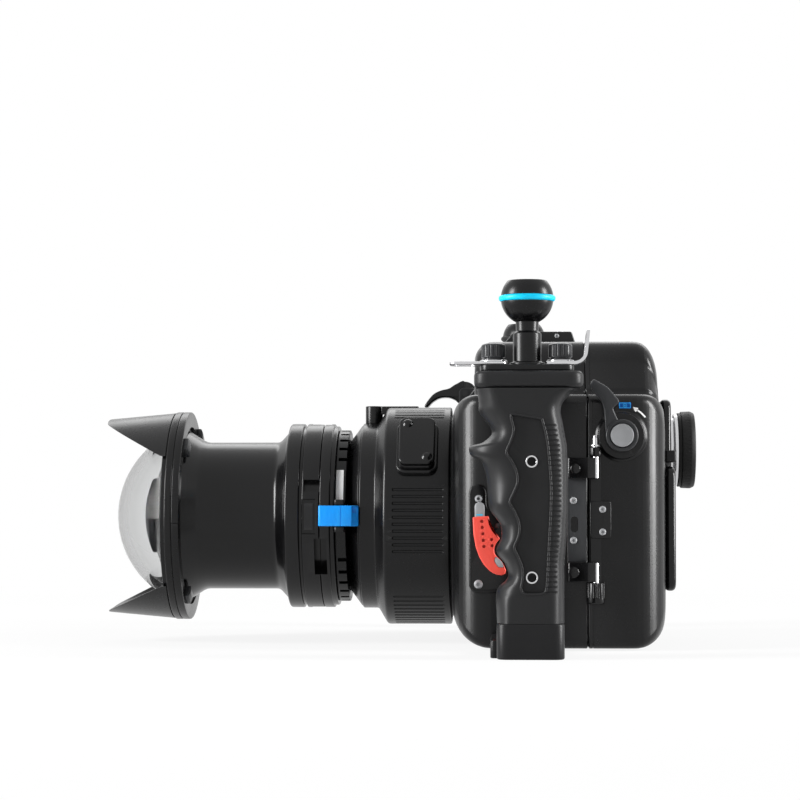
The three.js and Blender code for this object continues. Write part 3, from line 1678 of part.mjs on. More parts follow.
function makeRearControls() {
  for (const [name, shares] of Object.entries(buttonShares)) {
    piece(part, name, pushButton(rearPlace(shares), button.radius, button.capHeight), buttonGrey);
  }
  const centre = rearPlace(padShares);
  piece(part, 'ok_button', pushButton(centre, pad.okRadius, pad.okHeight - button.rise), buttonGrey);
  const padFoot = body.rear + running;
  const padRear = body.rear + pad.height;
  const padRing = turnedX(
    [
      [padFoot, pad.bore],
      [padFoot, pad.radius],
      [padRear - button.chamfer, pad.radius],
      [padRear, pad.radius - button.chamfer],
      [padRear, pad.bore],
    ],
    middleTurn,
    centre.z,
    centre.y,
  );
  piece(part, 'control_dial', padRing, anodisedLight);
  const knobSide = toothed(thumbDial.radius, thumbDial.toothDepth, thumbDial.teeth);
  const knob = prismX(knobSide, padFoot, body.rear + thumbDial.height);
  const shaftEnds = [body.rear - button.shaftInner, padFoot + overrun];
  const shaft = turnedX(capProfile(...shaftEnds, button.shaftRadius), tinyTurn);
  const dial = new THREE.Group();
  const place = rearPlace(thumbDialShares);
  dial.position.set(0, place.y, place.z);
  part.add(dial);
  piece(dial, 'thumb_dial', joined(knob, shaft), anodised);
}

// Right wall and shoulder

function makeRightSide() {
  const wall = body.halfWidth + running;
  const knobProfile = capProfile(wall, wall + latch.height, latch.radius, button.chamfer);
  const knob = turnedY(knobProfile, middleTurn, latch.x, latch.z);
  const armSide = rectangle(
    latch.x,
    latch.z - latch.armWidth / 2,
    latch.x + latch.armReach,
    latch.z + latch.armWidth / 2,
    latch.armRadius,
  );
  const shaftEnds = [body.innerHalfWidth, wall + overrun];
  const shaft = turnedY(capProfile(...shaftEnds, latch.shaftRadius), tinyTurn, latch.x, latch.z);
  const arm = prismY(armSide, wall, wall + latch.armHeight);
  piece(part, 'door_latch', joined(knob, arm, shaft), anodisedLight);

  const plug = turnedY(capProfile(body.innerHalfWidth, wall, valve.plugRadius), smallTurn, valve.x, valve.z);
  const capped = turnedY(
    capProfile(body.halfWidth, body.halfWidth + valve.height, valve.radius, button.chamfer),
    smallTurn,
    valve.x,
    valve.z,
  );
  piece(part, 'vacuum_valve', joined(plug, capped), blackRubber);

  for (const [name, dial] of Object.entries({ mode_dial: modeDial, exposure_dial: exposureDial })) {
    const foot = body.top + running;
    const knurl = toothed(dial.radius, topDial.toothDepth, topDial.teeth);
    const knobbed = prismZ(knurl, foot, body.top + dial.height);
    const stemProfile = capProfile(body.top - body.wall, foot + overrun, topDial.shaftRadius);
    const stem = turnedZ(stemProfile, tinyTurn, 0, 0);
    const holder = new THREE.Group();
    holder.position.set(dial.x, topDial.y, 0);
    part.add(holder);
    piece(holder, name, joined(knobbed, stem), anodised);
  }
}

// Handles: side is -1 on the left and 1 on the right

// Prism along Y between two distances out from the middle
function outwards(side, shape, near, far) {
  return prismY(shape, Math.min(side * near, side * far), Math.max(side * near, side * far));
}

function sideways(side, corners) {
  return outline(corners.map(([x, out, radius]) => [x, side * out, radius]));
}

// Height of a point of the grip from its share of the way between the foot block and the bracket
function gripHeight(share) {
  return THREE.MathUtils.lerp(handle.footTop + seat, handle.top - running, share);
}

function gripSolid(side) {
  const rings = gripShares.map(([height, forward, back]) => {
    const [front, rear] = [handle.axisX - forward * gripHalfDepth, handle.axisX + back * gripHalfDepth];
    const ring = [];
    for (let k = 0; k < handle.around; k += 1) {
      const angle = ((2 * k + 1) / handle.around) * Math.PI;
      const bend = (value) => Math.sign(value) * Math.abs(value) ** (2 / handle.exponent);
      const x = (front + rear) / 2 + ((rear - front) / 2) * bend(Math.cos(angle));
      const y = side * handle.centreOut + handle.halfThickness * bend(Math.sin(angle));
      ring.push(new THREE.Vector3(x, y, gripHeight(height)));
    }
    return ring;
  });
  return skinned(rings);
}

function makeHandle(side, name) {
  const outer = handle.centreOut + handle.halfThickness;
  const inner = handle.centreOut - handle.halfThickness;
  const panel = outline(
    panelShares.map(([along, height]) => [handle.axisX + along * gripHalfDepth, gripHeight(height)]),
  );
  const recess = outwards(side, panel, outer - handle.panelDepth, outer + overrun);
  piece(part, `${name}_grip`, cut(gripSolid(side), recess), gripGrey);

  const flange = prismZ(
    sideways(side, [
      [handle.flangeFront, outer, handle.flangeRadius],
      [handle.flangeRear, outer, handle.flangeRadius],
      [handle.flangeRear, handle.shoulderOut, handle.flangeRadius],
      [handle.waistRear, handle.waistOut, handle.flangeRadius],
      [handle.waistRear, handle.flangeInner],
      [handle.waistFront, handle.flangeInner],
      [handle.waistFront, handle.waistOut, handle.flangeRadius],
      [handle.flangeFront, handle.shoulderOut, handle.flangeRadius],
    ]),
    handle.top,
    handle.flangeTop,
  );
  piece(part, `${name}_upper_arm`, side > 0 ? joined(flange, shutterFork()) : flange, gripGrey);

  const block = prismZ(
    sideways(side, [
      [handle.footFront, outer, handle.footRadius],
      [handle.footRear, outer, handle.footRadius],
      [handle.footRear, inner, handle.footRadius],
      [handle.footFront, inner, handle.footRadius],
    ]),
    0,
    handle.footTop,
  );
  const bar = prismZ(
    sideways(side, [
      [handle.barFront, body.halfWidth, 0],
      [handle.barRear, body.halfWidth, 0],
      [handle.barRear, handle.barReach, handle.footRadius],
      [handle.barFront, handle.barReach, handle.footRadius],
    ]),
    0,
    handle.barHeight,
  );
  piece(part, `${name}_lower_arm`, joined(block, bar), gripGrey);

  const top = new THREE.Group();
  top.position.set(0, side * handle.centreOut, 0);
  part.add(top);
  makeBallMount(top, name);
  makeLanyardPlates(top, name);
}

function makeBallMount(top, name) {
  const plate = prismZ(
    rectangle(ball.plateFront, -ball.plateHalfWidth, ball.plateRear, ball.plateHalfWidth, ball.plateRadius),
    handle.flangeTop,
    ball.plateTop,
  );
  const start = 180 - THREE.MathUtils.radToDeg(Math.asin(ball.neckRadius / ball.radius));
  const end = THREE.MathUtils.radToDeg(Math.acos((ball.flatTop - ball.centre) / ball.radius));
  const post = turnedZ(
    [
      [handle.flangeTop, 0],
      [handle.flangeTop, ball.stemRadius],
      [ball.stemTop, ball.stemRadius],
      [ball.stemTop, ball.neckRadius],
      ...arcPoints(ball.centre, 0, ball.radius, start, end, ballSteps),
      [ball.flatTop, 0],
    ],
    middleTurn,
    handle.axisX,
    0,
  );
  const ringCentre = ball.radius - ball.ringSink;
  const floor = ringCentre - ball.ringTube - seat;
  const groove = turnedZ(
    [
      [ball.centre - ball.ringTube - seat, floor],
      [ball.centre - ball.ringTube - seat, ball.radius + overrun],
      [ball.centre + ball.ringTube + seat, ball.radius + overrun],
      [ball.centre + ball.ringTube + seat, floor],
    ],
    middleTurn,
    handle.axisX,
    0,
  );
  piece(top, `${name}_ball`, cut(joined(plate, post), groove), anodised);
  const tube = turnedZ(tubeSection(ball.centre, ringCentre, ball.ringTube), middleTurn, handle.axisX, 0);
  piece(top, `${name}_ball_ring`, tube, cyanRubber);
}

function makeLanyardPlates(top, name) {
  const upper = lanyard.foot + lanyard.thickness;
  const holeEnds = [lanyard.foot - overrun, upper + overrun];
  const hole = (x) => turnedZ(capProfile(...holeEnds, screws.hole), tinyTurn, x, 0);
  const slotFront = lanyard.front + lanyard.slotWall;
  const flat = cut(
    prismZ(
      rectangle(lanyard.front, -lanyard.halfWidth, lanyard.frontRear, lanyard.halfWidth, lanyard.radius),
      lanyard.foot,
      upper,
    ),
    prismZ(
      rectangle(
        slotFront,
        -lanyard.slotHalfWidth,
        slotFront + lanyard.slotLength,
        lanyard.slotHalfWidth,
        lanyard.slotRadius,
      ),
      lanyard.foot - overrun,
      upper + overrun,
    ),
    hole(screws.frontX),
  );
  piece(top, `${name}_front_lanyard`, flat, steel);

  const bend = outline([
    [lanyard.rearFront, lanyard.foot],
    [lanyard.rearBend, lanyard.foot],
    [lanyard.rearRear, lanyard.bentTop],
    [lanyard.rearRear - lanyard.thickness, lanyard.bentTop],
    [lanyard.rearBend - lanyard.thickness, upper],
    [lanyard.rearFront, upper],
  ]);
  const bentSlot = prismX(
    rectangle(
      -lanyard.slotHalfWidth,
      lanyard.bentSlotFoot,
      lanyard.slotHalfWidth,
      lanyard.bentTop - lanyard.slotWall,
      lanyard.slotRadius,
    ),
    lanyard.rearFront,
    lanyard.rearRear + overrun,
  );
  const bent = cut(prismY(bend, -lanyard.halfWidth, lanyard.halfWidth), bentSlot, hole(screws.rearX));
  piece(top, `${name}_rear_lanyard`, bent, steel);
}

// Fork on the right bracket, with the pin that the shutter lever turns on
function shutterFork() {
  const gap = shutter.halfWidth + shutter.cheekGap;
  const near = shutter.out - gap - shutter.cheek;
  const far = shutter.out + gap + shutter.cheek;
  const block = boxOf(shutter.supportFront, handle.axisX, near, far, shutter.supportFoot, handle.flangeTop);
  const { cheekFront, supportFront, supportFoot, cheekTop } = shutter;
  const cheeks = [near, far - shutter.cheek].map((from) =>
    boxOf(cheekFront, supportFront, from, from + shutter.cheek, supportFoot, cheekTop));
  const pin = turnedY(capProfile(near, far, shutter.pinRadius), tinyTurn, shutter.x, shutter.z);
  return joined(block, ...cheeks, pin);
}

function makeShutterLever() {
  const [near, far] = [shutter.out - shutter.halfWidth, shutter.out + shutter.halfWidth];
  const arm = smooth(
    shutterShares.map(([forward, up]) => [
      shutter.x - forward * shutter.reach,
      shutter.z + up * shutter.hubRadius,
    ]),
  );
  const onPin = (profile, turns) => turnedY(profile, turns, shutter.x, shutter.z);
  const hub = onPin(capProfile(near, far, shutter.hubRadius), smallTurn);
  const bore = onPin(capProfile(near - overrun, far + overrun, shutter.pinHole), tinyTurn);
  piece(part, 'shutter_lever', cut(joined(prismY(arm, near, far), hub), bore), anodised);
}

makeFrontShell();
makeRearShell();
makeFootAndInside();
makeAccessoryPlate();
makePort();
makeAdaptor();
makeWetLens();
makeHinge();
makePlayLever();
makePortLock();
makeRearWindow();
makeEyepiece();
makeRearControls();
makeRightSide();
makeHandle(-1, 'left');
makeHandle(1, 'right');
makeShutterLever();

export default part;
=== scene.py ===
import json
import math

import bmesh
import bpy
from mathutils import Matrix, Vector


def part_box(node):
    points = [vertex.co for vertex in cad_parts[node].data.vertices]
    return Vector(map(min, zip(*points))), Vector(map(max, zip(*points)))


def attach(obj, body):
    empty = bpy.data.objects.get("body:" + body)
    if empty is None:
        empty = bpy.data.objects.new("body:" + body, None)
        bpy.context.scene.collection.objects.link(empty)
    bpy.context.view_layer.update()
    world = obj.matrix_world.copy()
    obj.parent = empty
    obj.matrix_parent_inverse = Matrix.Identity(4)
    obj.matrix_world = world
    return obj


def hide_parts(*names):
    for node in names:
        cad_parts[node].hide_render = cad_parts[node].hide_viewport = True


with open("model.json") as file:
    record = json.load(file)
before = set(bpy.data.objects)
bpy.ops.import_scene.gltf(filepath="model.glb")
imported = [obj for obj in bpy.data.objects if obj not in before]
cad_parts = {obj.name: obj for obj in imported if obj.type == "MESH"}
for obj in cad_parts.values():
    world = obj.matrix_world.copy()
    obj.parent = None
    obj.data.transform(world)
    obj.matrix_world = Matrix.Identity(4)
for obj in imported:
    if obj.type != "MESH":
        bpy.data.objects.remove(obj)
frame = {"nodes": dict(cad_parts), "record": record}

MM = 0.001
TURN = 2 * math.pi

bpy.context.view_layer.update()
nodes = frame["nodes"]


# Measures taken from the frame, in millimetres

def span(node):
    """Lowest and highest corner of a CAD node, in millimetres."""
    low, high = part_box(node)
    return [c / MM for c in low], [c / MM for c in high]


def middle(node, plane="XZ"):
    """Middle of a CAD node's box on two axes."""
    low, high = span(node)
    return tuple((low[k] + high[k]) / 2 for k in map("XYZ".index, plane))


AXIS = middle("dome_glass")[1]


# Meshes

def mesh_object(name, points, faces):
    """New object from points in millimetres, with its faces pointing out."""
    mesh = bpy.data.meshes.new(name)
    mesh.from_pydata([[c * MM for c in p] for p in points], [], faces)
    mesh.validate()
    shape = bmesh.new()
    shape.from_mesh(mesh)
    bmesh.ops.remove_doubles(shape, verts=shape.verts, dist=0.002 * MM)
    bmesh.ops.recalc_face_normals(shape, faces=shape.faces)
    shape.to_mesh(mesh)
    shape.free()
    obj = bpy.data.objects.new(name, mesh)
    bpy.context.scene.collection.objects.link(obj)
    return obj


def settle(obj):
    """Turns the object's modifiers into plain mesh."""
    bpy.context.view_layer.update()
    graph = bpy.context.evaluated_depsgraph_get()
    fresh = bpy.data.meshes.new_from_object(obj.evaluated_get(graph))
    obj.modifiers.clear()
    old = obj.data
    obj.data = fresh
    bpy.data.meshes.remove(old)
    return obj


def combine(obj, others, operation):
    """Joins the others to obj, or cuts them from it, and removes them."""
    for other in others:
        step = obj.modifiers.new("step", "BOOLEAN")
        step.operation = operation
        step.solver = "MANIFOLD"
        step.object = other
    settle(obj)
    for other in others:
        mesh = other.data
        bpy.data.objects.remove(other)
        bpy.data.meshes.remove(mesh)
    return obj


def cut(obj, *others):
    return combine(obj, others, "DIFFERENCE")


def join(obj, *others):
    return combine(obj, others, "UNION")


def keep(obj, *others):
    return combine(obj, others, "INTERSECT")


def gather(name, objects):
    """One object from several that touch nowhere, each still a closed solid of its own."""
    shape = bmesh.new()
    for obj in objects:
        shape.from_mesh(obj.data)
        mesh = obj.data
        bpy.data.objects.remove(obj)
        bpy.data.meshes.remove(mesh)
    mesh = bpy.data.meshes.new(name)
    shape.to_mesh(mesh)
    shape.free()
    obj = bpy.data.objects.new(name, mesh)
    bpy.context.scene.collection.objects.link(obj)
    return obj


def bevel(obj, width, segments=2, angle=32):
    """Rounds the edges that are sharper than an angle."""
    edge = obj.modifiers.new("edge", "BEVEL")
    edge.width = width * MM
    edge.segments = segments
    edge.limit_method = "ANGLE"
    edge.angle_limit = math.radians(angle)
    edge.use_clamp_overlap = True
    edge.miter_outer = "MITER_ARC"
    return settle(obj)


def shade(obj, look, sharp):
    """Gives a piece its surface; edges that turn more than an angle in degrees stay sharp."""
    obj.data.materials.clear()
    obj.data.materials.append(look)
    obj.data.shade_smooth()
    obj.data.set_sharp_from_angle(angle=math.radians(sharp))


def dress(obj, look, body, stands_for=(), sharp=38):
    """Gives a piece its surface and its body, and hides the CAD nodes that it stands for."""
    shade(obj, look, sharp)
    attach(obj, body)
    if stands_for:
        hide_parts(*stands_for)
    return obj


def dress_pair(obj, name, look, node=None, sharp=38):
    """Dresses a left piece and its mirror image on the right; name and node come without their side."""
    twin = mirrored(obj, f"right_{name}")
    obj.name = f"left_{name}"
    for piece, side in ((obj, "left"), (twin, "right")):
        dress(piece, look, "housing", [f"{side}_{node}"] if node else [], sharp)


# Outlines: closed lists of points, drawn in a plane

def side_room(corners, i, way):
    """How much of the side from a corner to its neighbour its arc may take."""
    here, other = corners[i], corners[(i + way) % len(corners)]
    return math.dist(here[:2], other[:2]) * (0.49 if other[2] else 0.98)


def rounded(corners, steps=8):
    """Closed outline through corners given as (x, y, radius); each radius becomes an arc."""
    points = []
    for i, (x, y, radius) in enumerate(corners):
        here = Vector((x, y))
        if radius == 0:
            points.append((x, y))
            continue
        before = (Vector(corners[i - 1][:2]) - here).normalized()
        after = (Vector(corners[(i + 1) % len(corners)][:2]) - here).normalized()
        half = math.acos(max(-1, min(1, before.dot(after)))) / 2
        room = min(side_room(corners, i, -1), side_room(corners, i, 1))
        radius = min(radius, room * math.tan(half))
        centre = here + (before + after).normalized() * (radius / math.sin(half))
        start = here + before * (radius / math.tan(half)) - centre
        end = here + after * (radius / math.tan(half)) - centre
        turn = math.atan2(start.x * end.y - start.y * end.x, start.dot(end))
        count = max(2, round(steps * abs(turn) / (math.pi / 2)))
        for k in range(count + 1):
            angle = turn * k / count
            c, s = math.cos(angle), math.sin(angle)
            points.append((centre.x + start.x * c - start.y * s, centre.y + start.x * s + start.y * c))
    return points


def rectangle(x0, y0, x1, y1, radius=0, steps=8):
    return rounded([(x0, y0, radius), (x1, y0, radius), (x1, y1, radius), (x0, y1, radius)], steps)


def disc(x, y, radius, steps=48):
    return [(x + radius * math.cos(TURN * k / steps), y + radius * math.sin(TURN * k / steps))
            for k in range(steps)]


def face_of(node, plane, inset=0, radius=0, steps=8):
    """Outline of a CAD node's box on two axes, drawn in by an inset."""
    low, high = span(node)
    a, b = map("XYZ".index, plane)
    return rectangle(low[a] + inset, low[b] + inset, high[a] - inset, high[b] - inset, radius, steps)


def placed(points, a, b):
    """Points, with or without a radius, moved to where their origin is at (a, b)."""
    return [(a + p[0], b + p[1], *p[2:]) for p in points]


def spline(p0, p1, p2, p3, t):
    """Point of a smooth curve at a share t of its way from p1 to p2."""
    return 0.5 * (2 * p1 + (p2 - p0) * t + (2 * p0 - 5 * p1 + 4 * p2 - p3) * t ** 2
                  + (3 * p1 - p0 - 3 * p2 + p3) * t ** 3)


def smooth_loop(points, steps):
    """Smooth closed curve through a few points."""
    count = len(points)
    loop = []
    for i in range(count):
        around_here = [Vector(points[(i + k) % count]) for k in (-1, 0, 1, 2)]
        loop += [tuple(spline(*around_here, k / steps)) for k in range(steps)]
    return loop


def smooth_line(points, steps):
    """Smooth open curve through a few points, ends included."""
    line = []
    for i in range(len(points) - 1):
        p1, p2 = Vector(points[i]), Vector(points[i + 1])
        p0 = Vector(points[i - 1]) if i > 0 else 2 * p1 - p2
        p3 = Vector(points[i + 2]) if i + 2 < len(points) else 2 * p2 - p1
        line += [tuple(spline(p0, p1, p2, p3, k / steps)) for k in range(steps + (i + 2 == len(points)))]
    return line


# Prisms: an outline pushed along one axis

PLANES = {
    "X": lambda a, b, along: (along, a, b),
    "Y": lambda a, b, along: (a, along, b),
    "Z": lambda a, b, along: (a, b, along),
}


def prism(name, loop, start, end, axis, edge=0, rounds=2):
    """Solid between two places along an axis, its rims rounded by edge millimetres."""
    place = PLANES[axis]
    count = len(loop)
    points = [place(a, b, start) for a, b in loop] + [place(a, b, end) for a, b in loop]
    faces = [[k, (k + 1) % count, count + (k + 1) % count, count + k] for k in range(count)]
    faces += [list(range(count)), list(range(2 * count - 1, count - 1, -1))]
    obj = mesh_object(name, points, faces)
    if edge:
        rim(obj, edge, rounds, {"X": 0, "Y": 1, "Z": 2}[axis])
    return obj


def rim(obj, edge, rounds, axis):
    """Rounds the rims of a prism, whose side edges stay as they are."""
    shape = bmesh.new()
    shape.from_mesh(obj.data)
    low = min(v.co[axis] for v in shape.verts)
    high = max(v.co[axis] for v in shape.verts)
    edges = [e for e in shape.edges
             if abs(e.verts[0].co[axis] - e.verts[1].co[axis]) < 1e-7
             and (abs(e.verts[0].co[axis] - low) < 1e-7 or abs(e.verts[0].co[axis] - high) < 1e-7)]
    bmesh.ops.bevel(shape, geom=edges, offset=edge * MM, segments=rounds, profile=0.5, affect="EDGES")
    shape.to_mesh(obj.data)
    shape.free()


def block(name, x0, x1, y0, y1, z0, z1, edge=0):
    obj = prism(name, rectangle(x0, y0, x1, y1), z0, z1, "Z")
    return bevel(obj, edge, 2) if edge else obj


# Turned solids: a profile of (place along the axis, radius, rounding) turned round an axis

def turned(name, profile, axis="X", centre=(0, 0), steps=128, rounds=4):
    """Solid of revolution. The profile closes on the axis where its ends have no radius, or on itself."""
    line = rounded([corner if len(corner) == 3 else (*corner, 0) for corner in profile], rounds)
    points, rows = [], []
    for along, radius in line:
        if radius < 1e-4:
            rows.append([len(points)])
            points.append(spot(axis, centre, along, 0, 0))
            continue
        rows.append(list(range(len(points), len(points) + steps)))
        for k in range(steps):
            angle = TURN * k / steps
            points.append(spot(axis, centre, along, radius * math.cos(angle), radius * math.sin(angle)))
    faces = []
    for i, row in enumerate(rows):
        after = rows[(i + 1) % len(rows)]
        if len(row) == 1 and len(after) == 1:
            continue
        for k in range(steps):
            ring = [row[k % len(row)], row[(k + 1) % len(row)], after[(k + 1) % len(after)],
                    after[k % len(after)]]
            faces.append(list(dict.fromkeys(ring)))
    return mesh_object(name, points, faces)


def spot(axis, centre, along, a, b):
    """Point at a place along an axis and beside it; centre is where the axis crosses the other two."""
    return PLANES[axis](a + centre[0], b + centre[1], along)


def rod(name, axis, start, end, radius, centre, steps=48, first=0, last=0):
    """Cylinder between two places along an axis; first and last round its two rims."""
    return turned(name, [(start, 0), (start, radius, first), (end, radius, last), (end, 0)], axis,
                  centre, steps)


def on_axis(name, profile, steps=128, rounds=4):
    """Turned round the lens axis."""
    return turned(name, profile, "X", (0, AXIS), steps, rounds)


def turn_about(obj, axis, angle, centre):
    """Turns a mesh about an axis through a point in millimetres."""
    place = Vector([c * MM for c in centre])
    turn = Matrix.Rotation(angle, 4, axis)
    obj.data.transform(Matrix.Translation(place) @ turn @ Matrix.Translation(-place))
    return obj


def all_round(make, count, axis, centre):
    """One object from a small piece made anew for each of some even turns about an axis."""
    return gather("copies", [turn_about(make(), axis, TURN * k / count, centre) for k in range(count)])


def mirrored(obj, name):
    """Copy of a piece on the other side of the middle plane."""
    mesh = obj.data.copy()
    mesh.transform(Matrix.Scale(-1, 4, Vector((0, 1, 0))))
    mesh.flip_normals()
    twin = bpy.data.objects.new(name, mesh)
    bpy.context.scene.collection.objects.link(twin)
    return twin


# Surfaces

def put(tree, kind, **values):
    """New shader node; each value goes to the input of that name, where an underscore stands for a space."""
    node = tree.nodes.new(f"ShaderNode{kind}")
    for name, value in values.items():
        node.inputs[name.replace("_", " ")].default_value = value
    return node


def new_look(name):
    """Material with nodes, its node tree and its main shader."""
    look = bpy.data.materials.new(name)
    look.use_nodes = True
    return look, look.node_tree, look.node_tree.nodes["Principled BSDF"]


def surface(name, colour, roughness, metallic=0.0, grain=1800.0, depth=0.03, shade=0.12,
            spread=0.12, edge_highlight=0.0, streaks=(1, 1, 1), specular=0.5):
    """Opaque surface with colour variation, uneven roughness, fine bump and a painted highlight on sharp
    edges.

    grain is the bump's frequency per metre, depth its height in tenths of a millimetre; shade and spread are
    how far colour and roughness wander; edge_highlight paints a lighter highlight on sharp edges; streaks
    stretch the grain along X, Y, Z.
    """
    look, tree, shader = new_look(name)
    link = tree.links.new
    shader.inputs["Metallic"].default_value = metallic
    shader.inputs["Specular IOR Level"].default_value = specular
    place = put(tree, "TexCoord")
    stretch = put(tree, "Mapping", Scale=streaks)
    link(place.outputs["Object"], stretch.inputs["Vector"])

    clouds = put(tree, "TexNoise", Scale=45.0, Detail=4.0)
    link(place.outputs["Object"], clouds.inputs["Vector"])
    tint = tree.nodes.new("ShaderNodeMix")
    tint.data_type = "RGBA"
    tint.inputs["A"].default_value = (*[c * (1 - shade) for c in colour], 1)
    tint.inputs["B"].default_value = (*[min(1, c * (1 + shade)) for c in colour], 1)
    link(clouds.outputs["Fac"], tint.inputs["Factor"])

    shown = tint.outputs["Result"]
    # Painted highlight: sharp convex edges are mixed towards a lighter colour, in place of light caught on
    # rounded edges, not real wear.
    if edge_highlight:
        shape = put(tree, "NewGeometry")
        edges = put(tree, "MapRange", From_Min=0.52, From_Max=0.62, To_Max=edge_highlight)
        link(shape.outputs["Pointiness"], edges.inputs["Value"])
        highlighted = tree.nodes.new("ShaderNodeMix")
        highlighted.data_type = "RGBA"
        highlighted.inputs["B"].default_value = (*[min(1, c * 2 + 0.05) for c in colour], 1)
        link(edges.outputs["Result"], highlighted.inputs["Factor"])
        link(shown, highlighted.inputs["A"])
        shown = highlighted.outputs["Result"]
    link(shown, shader.inputs["Base Color"])

    specks = put(tree, "TexNoise", Scale=grain, Detail=2.0)
    link(stretch.outputs["Vector"], specks.inputs["Vector"])
    rough = put(tree, "MapRange", From_Min=0.25, From_Max=0.75, To_Min=max(0.02, roughness * (1 - spread)),
                To_Max=min(1, roughness * (1 + spread)))
    link(clouds.outputs["Fac"], rough.inputs["Value"])
    link(rough.outputs["Result"], shader.inputs["Roughness"])
    bump = put(tree, "Bump", Strength=0.6, Distance=depth * 0.1 * MM)
    link(specks.outputs["Fac"], bump.inputs["Height"])
    link(bump.outputs["Normal"], shader.inputs["Normal"])
    return look


def glass(name, colour, roughness, ior, smears, tint=0.0):
    """Clear or coated glass with faint smears in its polish; tint darkens it per metre of depth."""
    look, tree, shader = new_look(name)
    shader.inputs["Base Color"].default_value = (*colour, 1)
    shader.inputs["Transmission Weight"].default_value = 1.0
    shader.inputs["IOR"].default_value = ior
    place = put(tree, "TexCoord")
    clouds = put(tree, "TexNoise", Scale=60.0, Detail=3.0)
    tree.links.new(place.outputs["Object"], clouds.inputs["Vector"])
    rough = put(tree, "MapRange", From_Min=0.4, From_Max=0.8, To_Min=roughness, To_Max=roughness + smears)
    tree.links.new(clouds.outputs["Fac"], rough.inputs["Value"])
    tree.links.new(rough.outputs["Result"], shader.inputs["Roughness"])
    if tint:
        depths = put(tree, "VolumeAbsorption", Color=(0.0, 0.0, 0.0, 1), Density=tint)
        tree.links.new(depths.outputs["Volume"], tree.nodes["Material Output"].inputs["Volume"])
    return look


BLACK = surface("black_anodised", (0.0022, 0.0022, 0.0025), 0.27, grain=5200, depth=0.04, edge_highlight=0.2,
                specular=0.26)
SATIN = surface("satin_black", (0.0020, 0.0020, 0.0023), 0.22, grain=4200, depth=0.03, edge_highlight=0.2,
                specular=0.29)
GLOSS = surface("gloss_black", (0.0020, 0.0020, 0.0023), 0.16, grain=3000, depth=0.03, edge_highlight=0.1,
                specular=0.28)
DARK_GREY = surface("grey_anodised", (0.026, 0.027, 0.029), 0.30, grain=3600, depth=0.06, edge_highlight=0.35,
                    specular=0.24)
PLASTIC = surface("black_plastic", (0.0060, 0.0060, 0.0066), 0.36, grain=2600, depth=0.16, edge_highlight=0.1,
                  specular=0.20)
GRIP = surface("grip_plastic", (0.0125, 0.0126, 0.0132), 0.38, grain=2400, depth=0.12, edge_highlight=0.12,
               specular=0.20)
STEEL = surface("brushed_steel", (0.60, 0.60, 0.61), 0.22, 1.0, grain=1500, depth=0.06, streaks=(1, 1, 8))
BLUE = surface("blue_anodised", (0.002, 0.27, 0.84), 0.34, grain=4000, depth=0.05, shade=0.05, edge_highlight=0.1,
               specular=0.3)
RED = surface("red_anodised", (0.80, 0.078, 0.055), 0.36, grain=4000, depth=0.05, shade=0.05, edge_highlight=0.1,
              specular=0.3)
CYAN = surface("cyan_rubber", (0.0, 0.55, 0.85), 0.42, grain=1500, depth=0.1, shade=0.05, specular=0.3)
RUBBER = surface("black_rubber", (0.006, 0.006, 0.006), 0.50, grain=1600, depth=0.3, specular=0.22)
BUTTON = surface("grey_button", (0.30, 0.305, 0.315), 0.36, grain=2600, depth=0.1, shade=0.05, edge_highlight=0.1,
                 specular=0.3)
BOARD = surface("circuit_board", (0.02, 0.13, 0.06), 0.45, grain=900, depth=0.3, shade=0.3)
WHITE = surface("white_marking", (0.80, 0.80, 0.80), 0.5, grain=2000, depth=0.05, shade=0.04, specular=0.2)
INK = surface("blue_marking", (0.0, 0.085, 0.40), 0.4, grain=2000, depth=0.05, shade=0.05, specular=0.2)
SKY = surface("sky_marking", (0.05, 0.46, 0.95), 0.4, grain=2000, depth=0.05, shade=0.05, specular=0.2)
CLEAR = glass("clear_glass", (0.98, 0.985, 0.985), 0.0, 1.13, 0.01, 34.0)
LENS = surface("lens_coating", (0.022, 0.023, 0.026), 0.45, grain=900, depth=0.01, specular=0.08)
COATED = glass("coated_glass", (0.018, 0.022, 0.028), 0.03, 1.6, 0.02)

LOOK_OF_SLOT = {
    "black_anodised": BLACK, "grey_anodised": DARK_GREY, "black_plastic": PLASTIC, "grip_plastic": GRIP,
    "steel": STEEL, "clear_glass": CLEAR, "coated_glass": COATED, "blue_anodised": BLUE, "red_anodised": RED,
    "cyan_rubber": CYAN, "black_rubber": RUBBER, "grey_button": BUTTON, "circuit_board": BOARD,
}
for part in frame["record"]["subparts"]:
    cad = nodes[part["node"]]
    cad.data.materials.clear()
    cad.data.materials.append(LOOK_OF_SLOT[part["material_slot"]])


# Body: the two shells, each a loft of cross sections along X

FRONT, BOTTOM = span("front_shell")[0][::2]
SEAM_FRONT, HALF_WIDTH, HUMP_TOP = span("front_shell")[1]
SEAM_REAR, REAR = (corner[0] for corner in span("rear_shell"))
TOP = span("left_upper_arm")[0][2]
WALL, WALL_Y = 6.0, -HALF_WIDTH
SEAM_EDGE, SEAT_GAP = 0.5, 0.3
PORT_BORE, LATCH_HUB = 54.3, 13.0
FOOT_FRONT_RADIUS, FOOT_REAR_RADIUS = 20.0, 16.0
TOP_FRONT_RADIUS, TOP_REAR_RADIUS = 12.0, 11.0
PLAN_FRONT_RADIUS, PLAN_REAR_RADIUS = 20.0, 20.0
SHOULDER, KEEL, END_CORNER = 5.0, 4.0, 12.0
HUMP_FRONT, HUMP_REAR = FRONT + 10.8, REAR - 1.8
HUMP_FOOT, HUMP_CROWN = HALF_WIDTH - 38.0, HALF_WIDTH - 47.0
HUMP_FRONT_RADIUS, HUMP_REAR_RADIUS, HUMP_SIDE_RADIUS = 10.0, 13.0, 12.0
HUMP_FILLET, HUMP_PLAN_RADIUS = 5.0, 9.0
ARC, FILLET_STEPS, FILLET_SHARE = 8, 4, 0.8


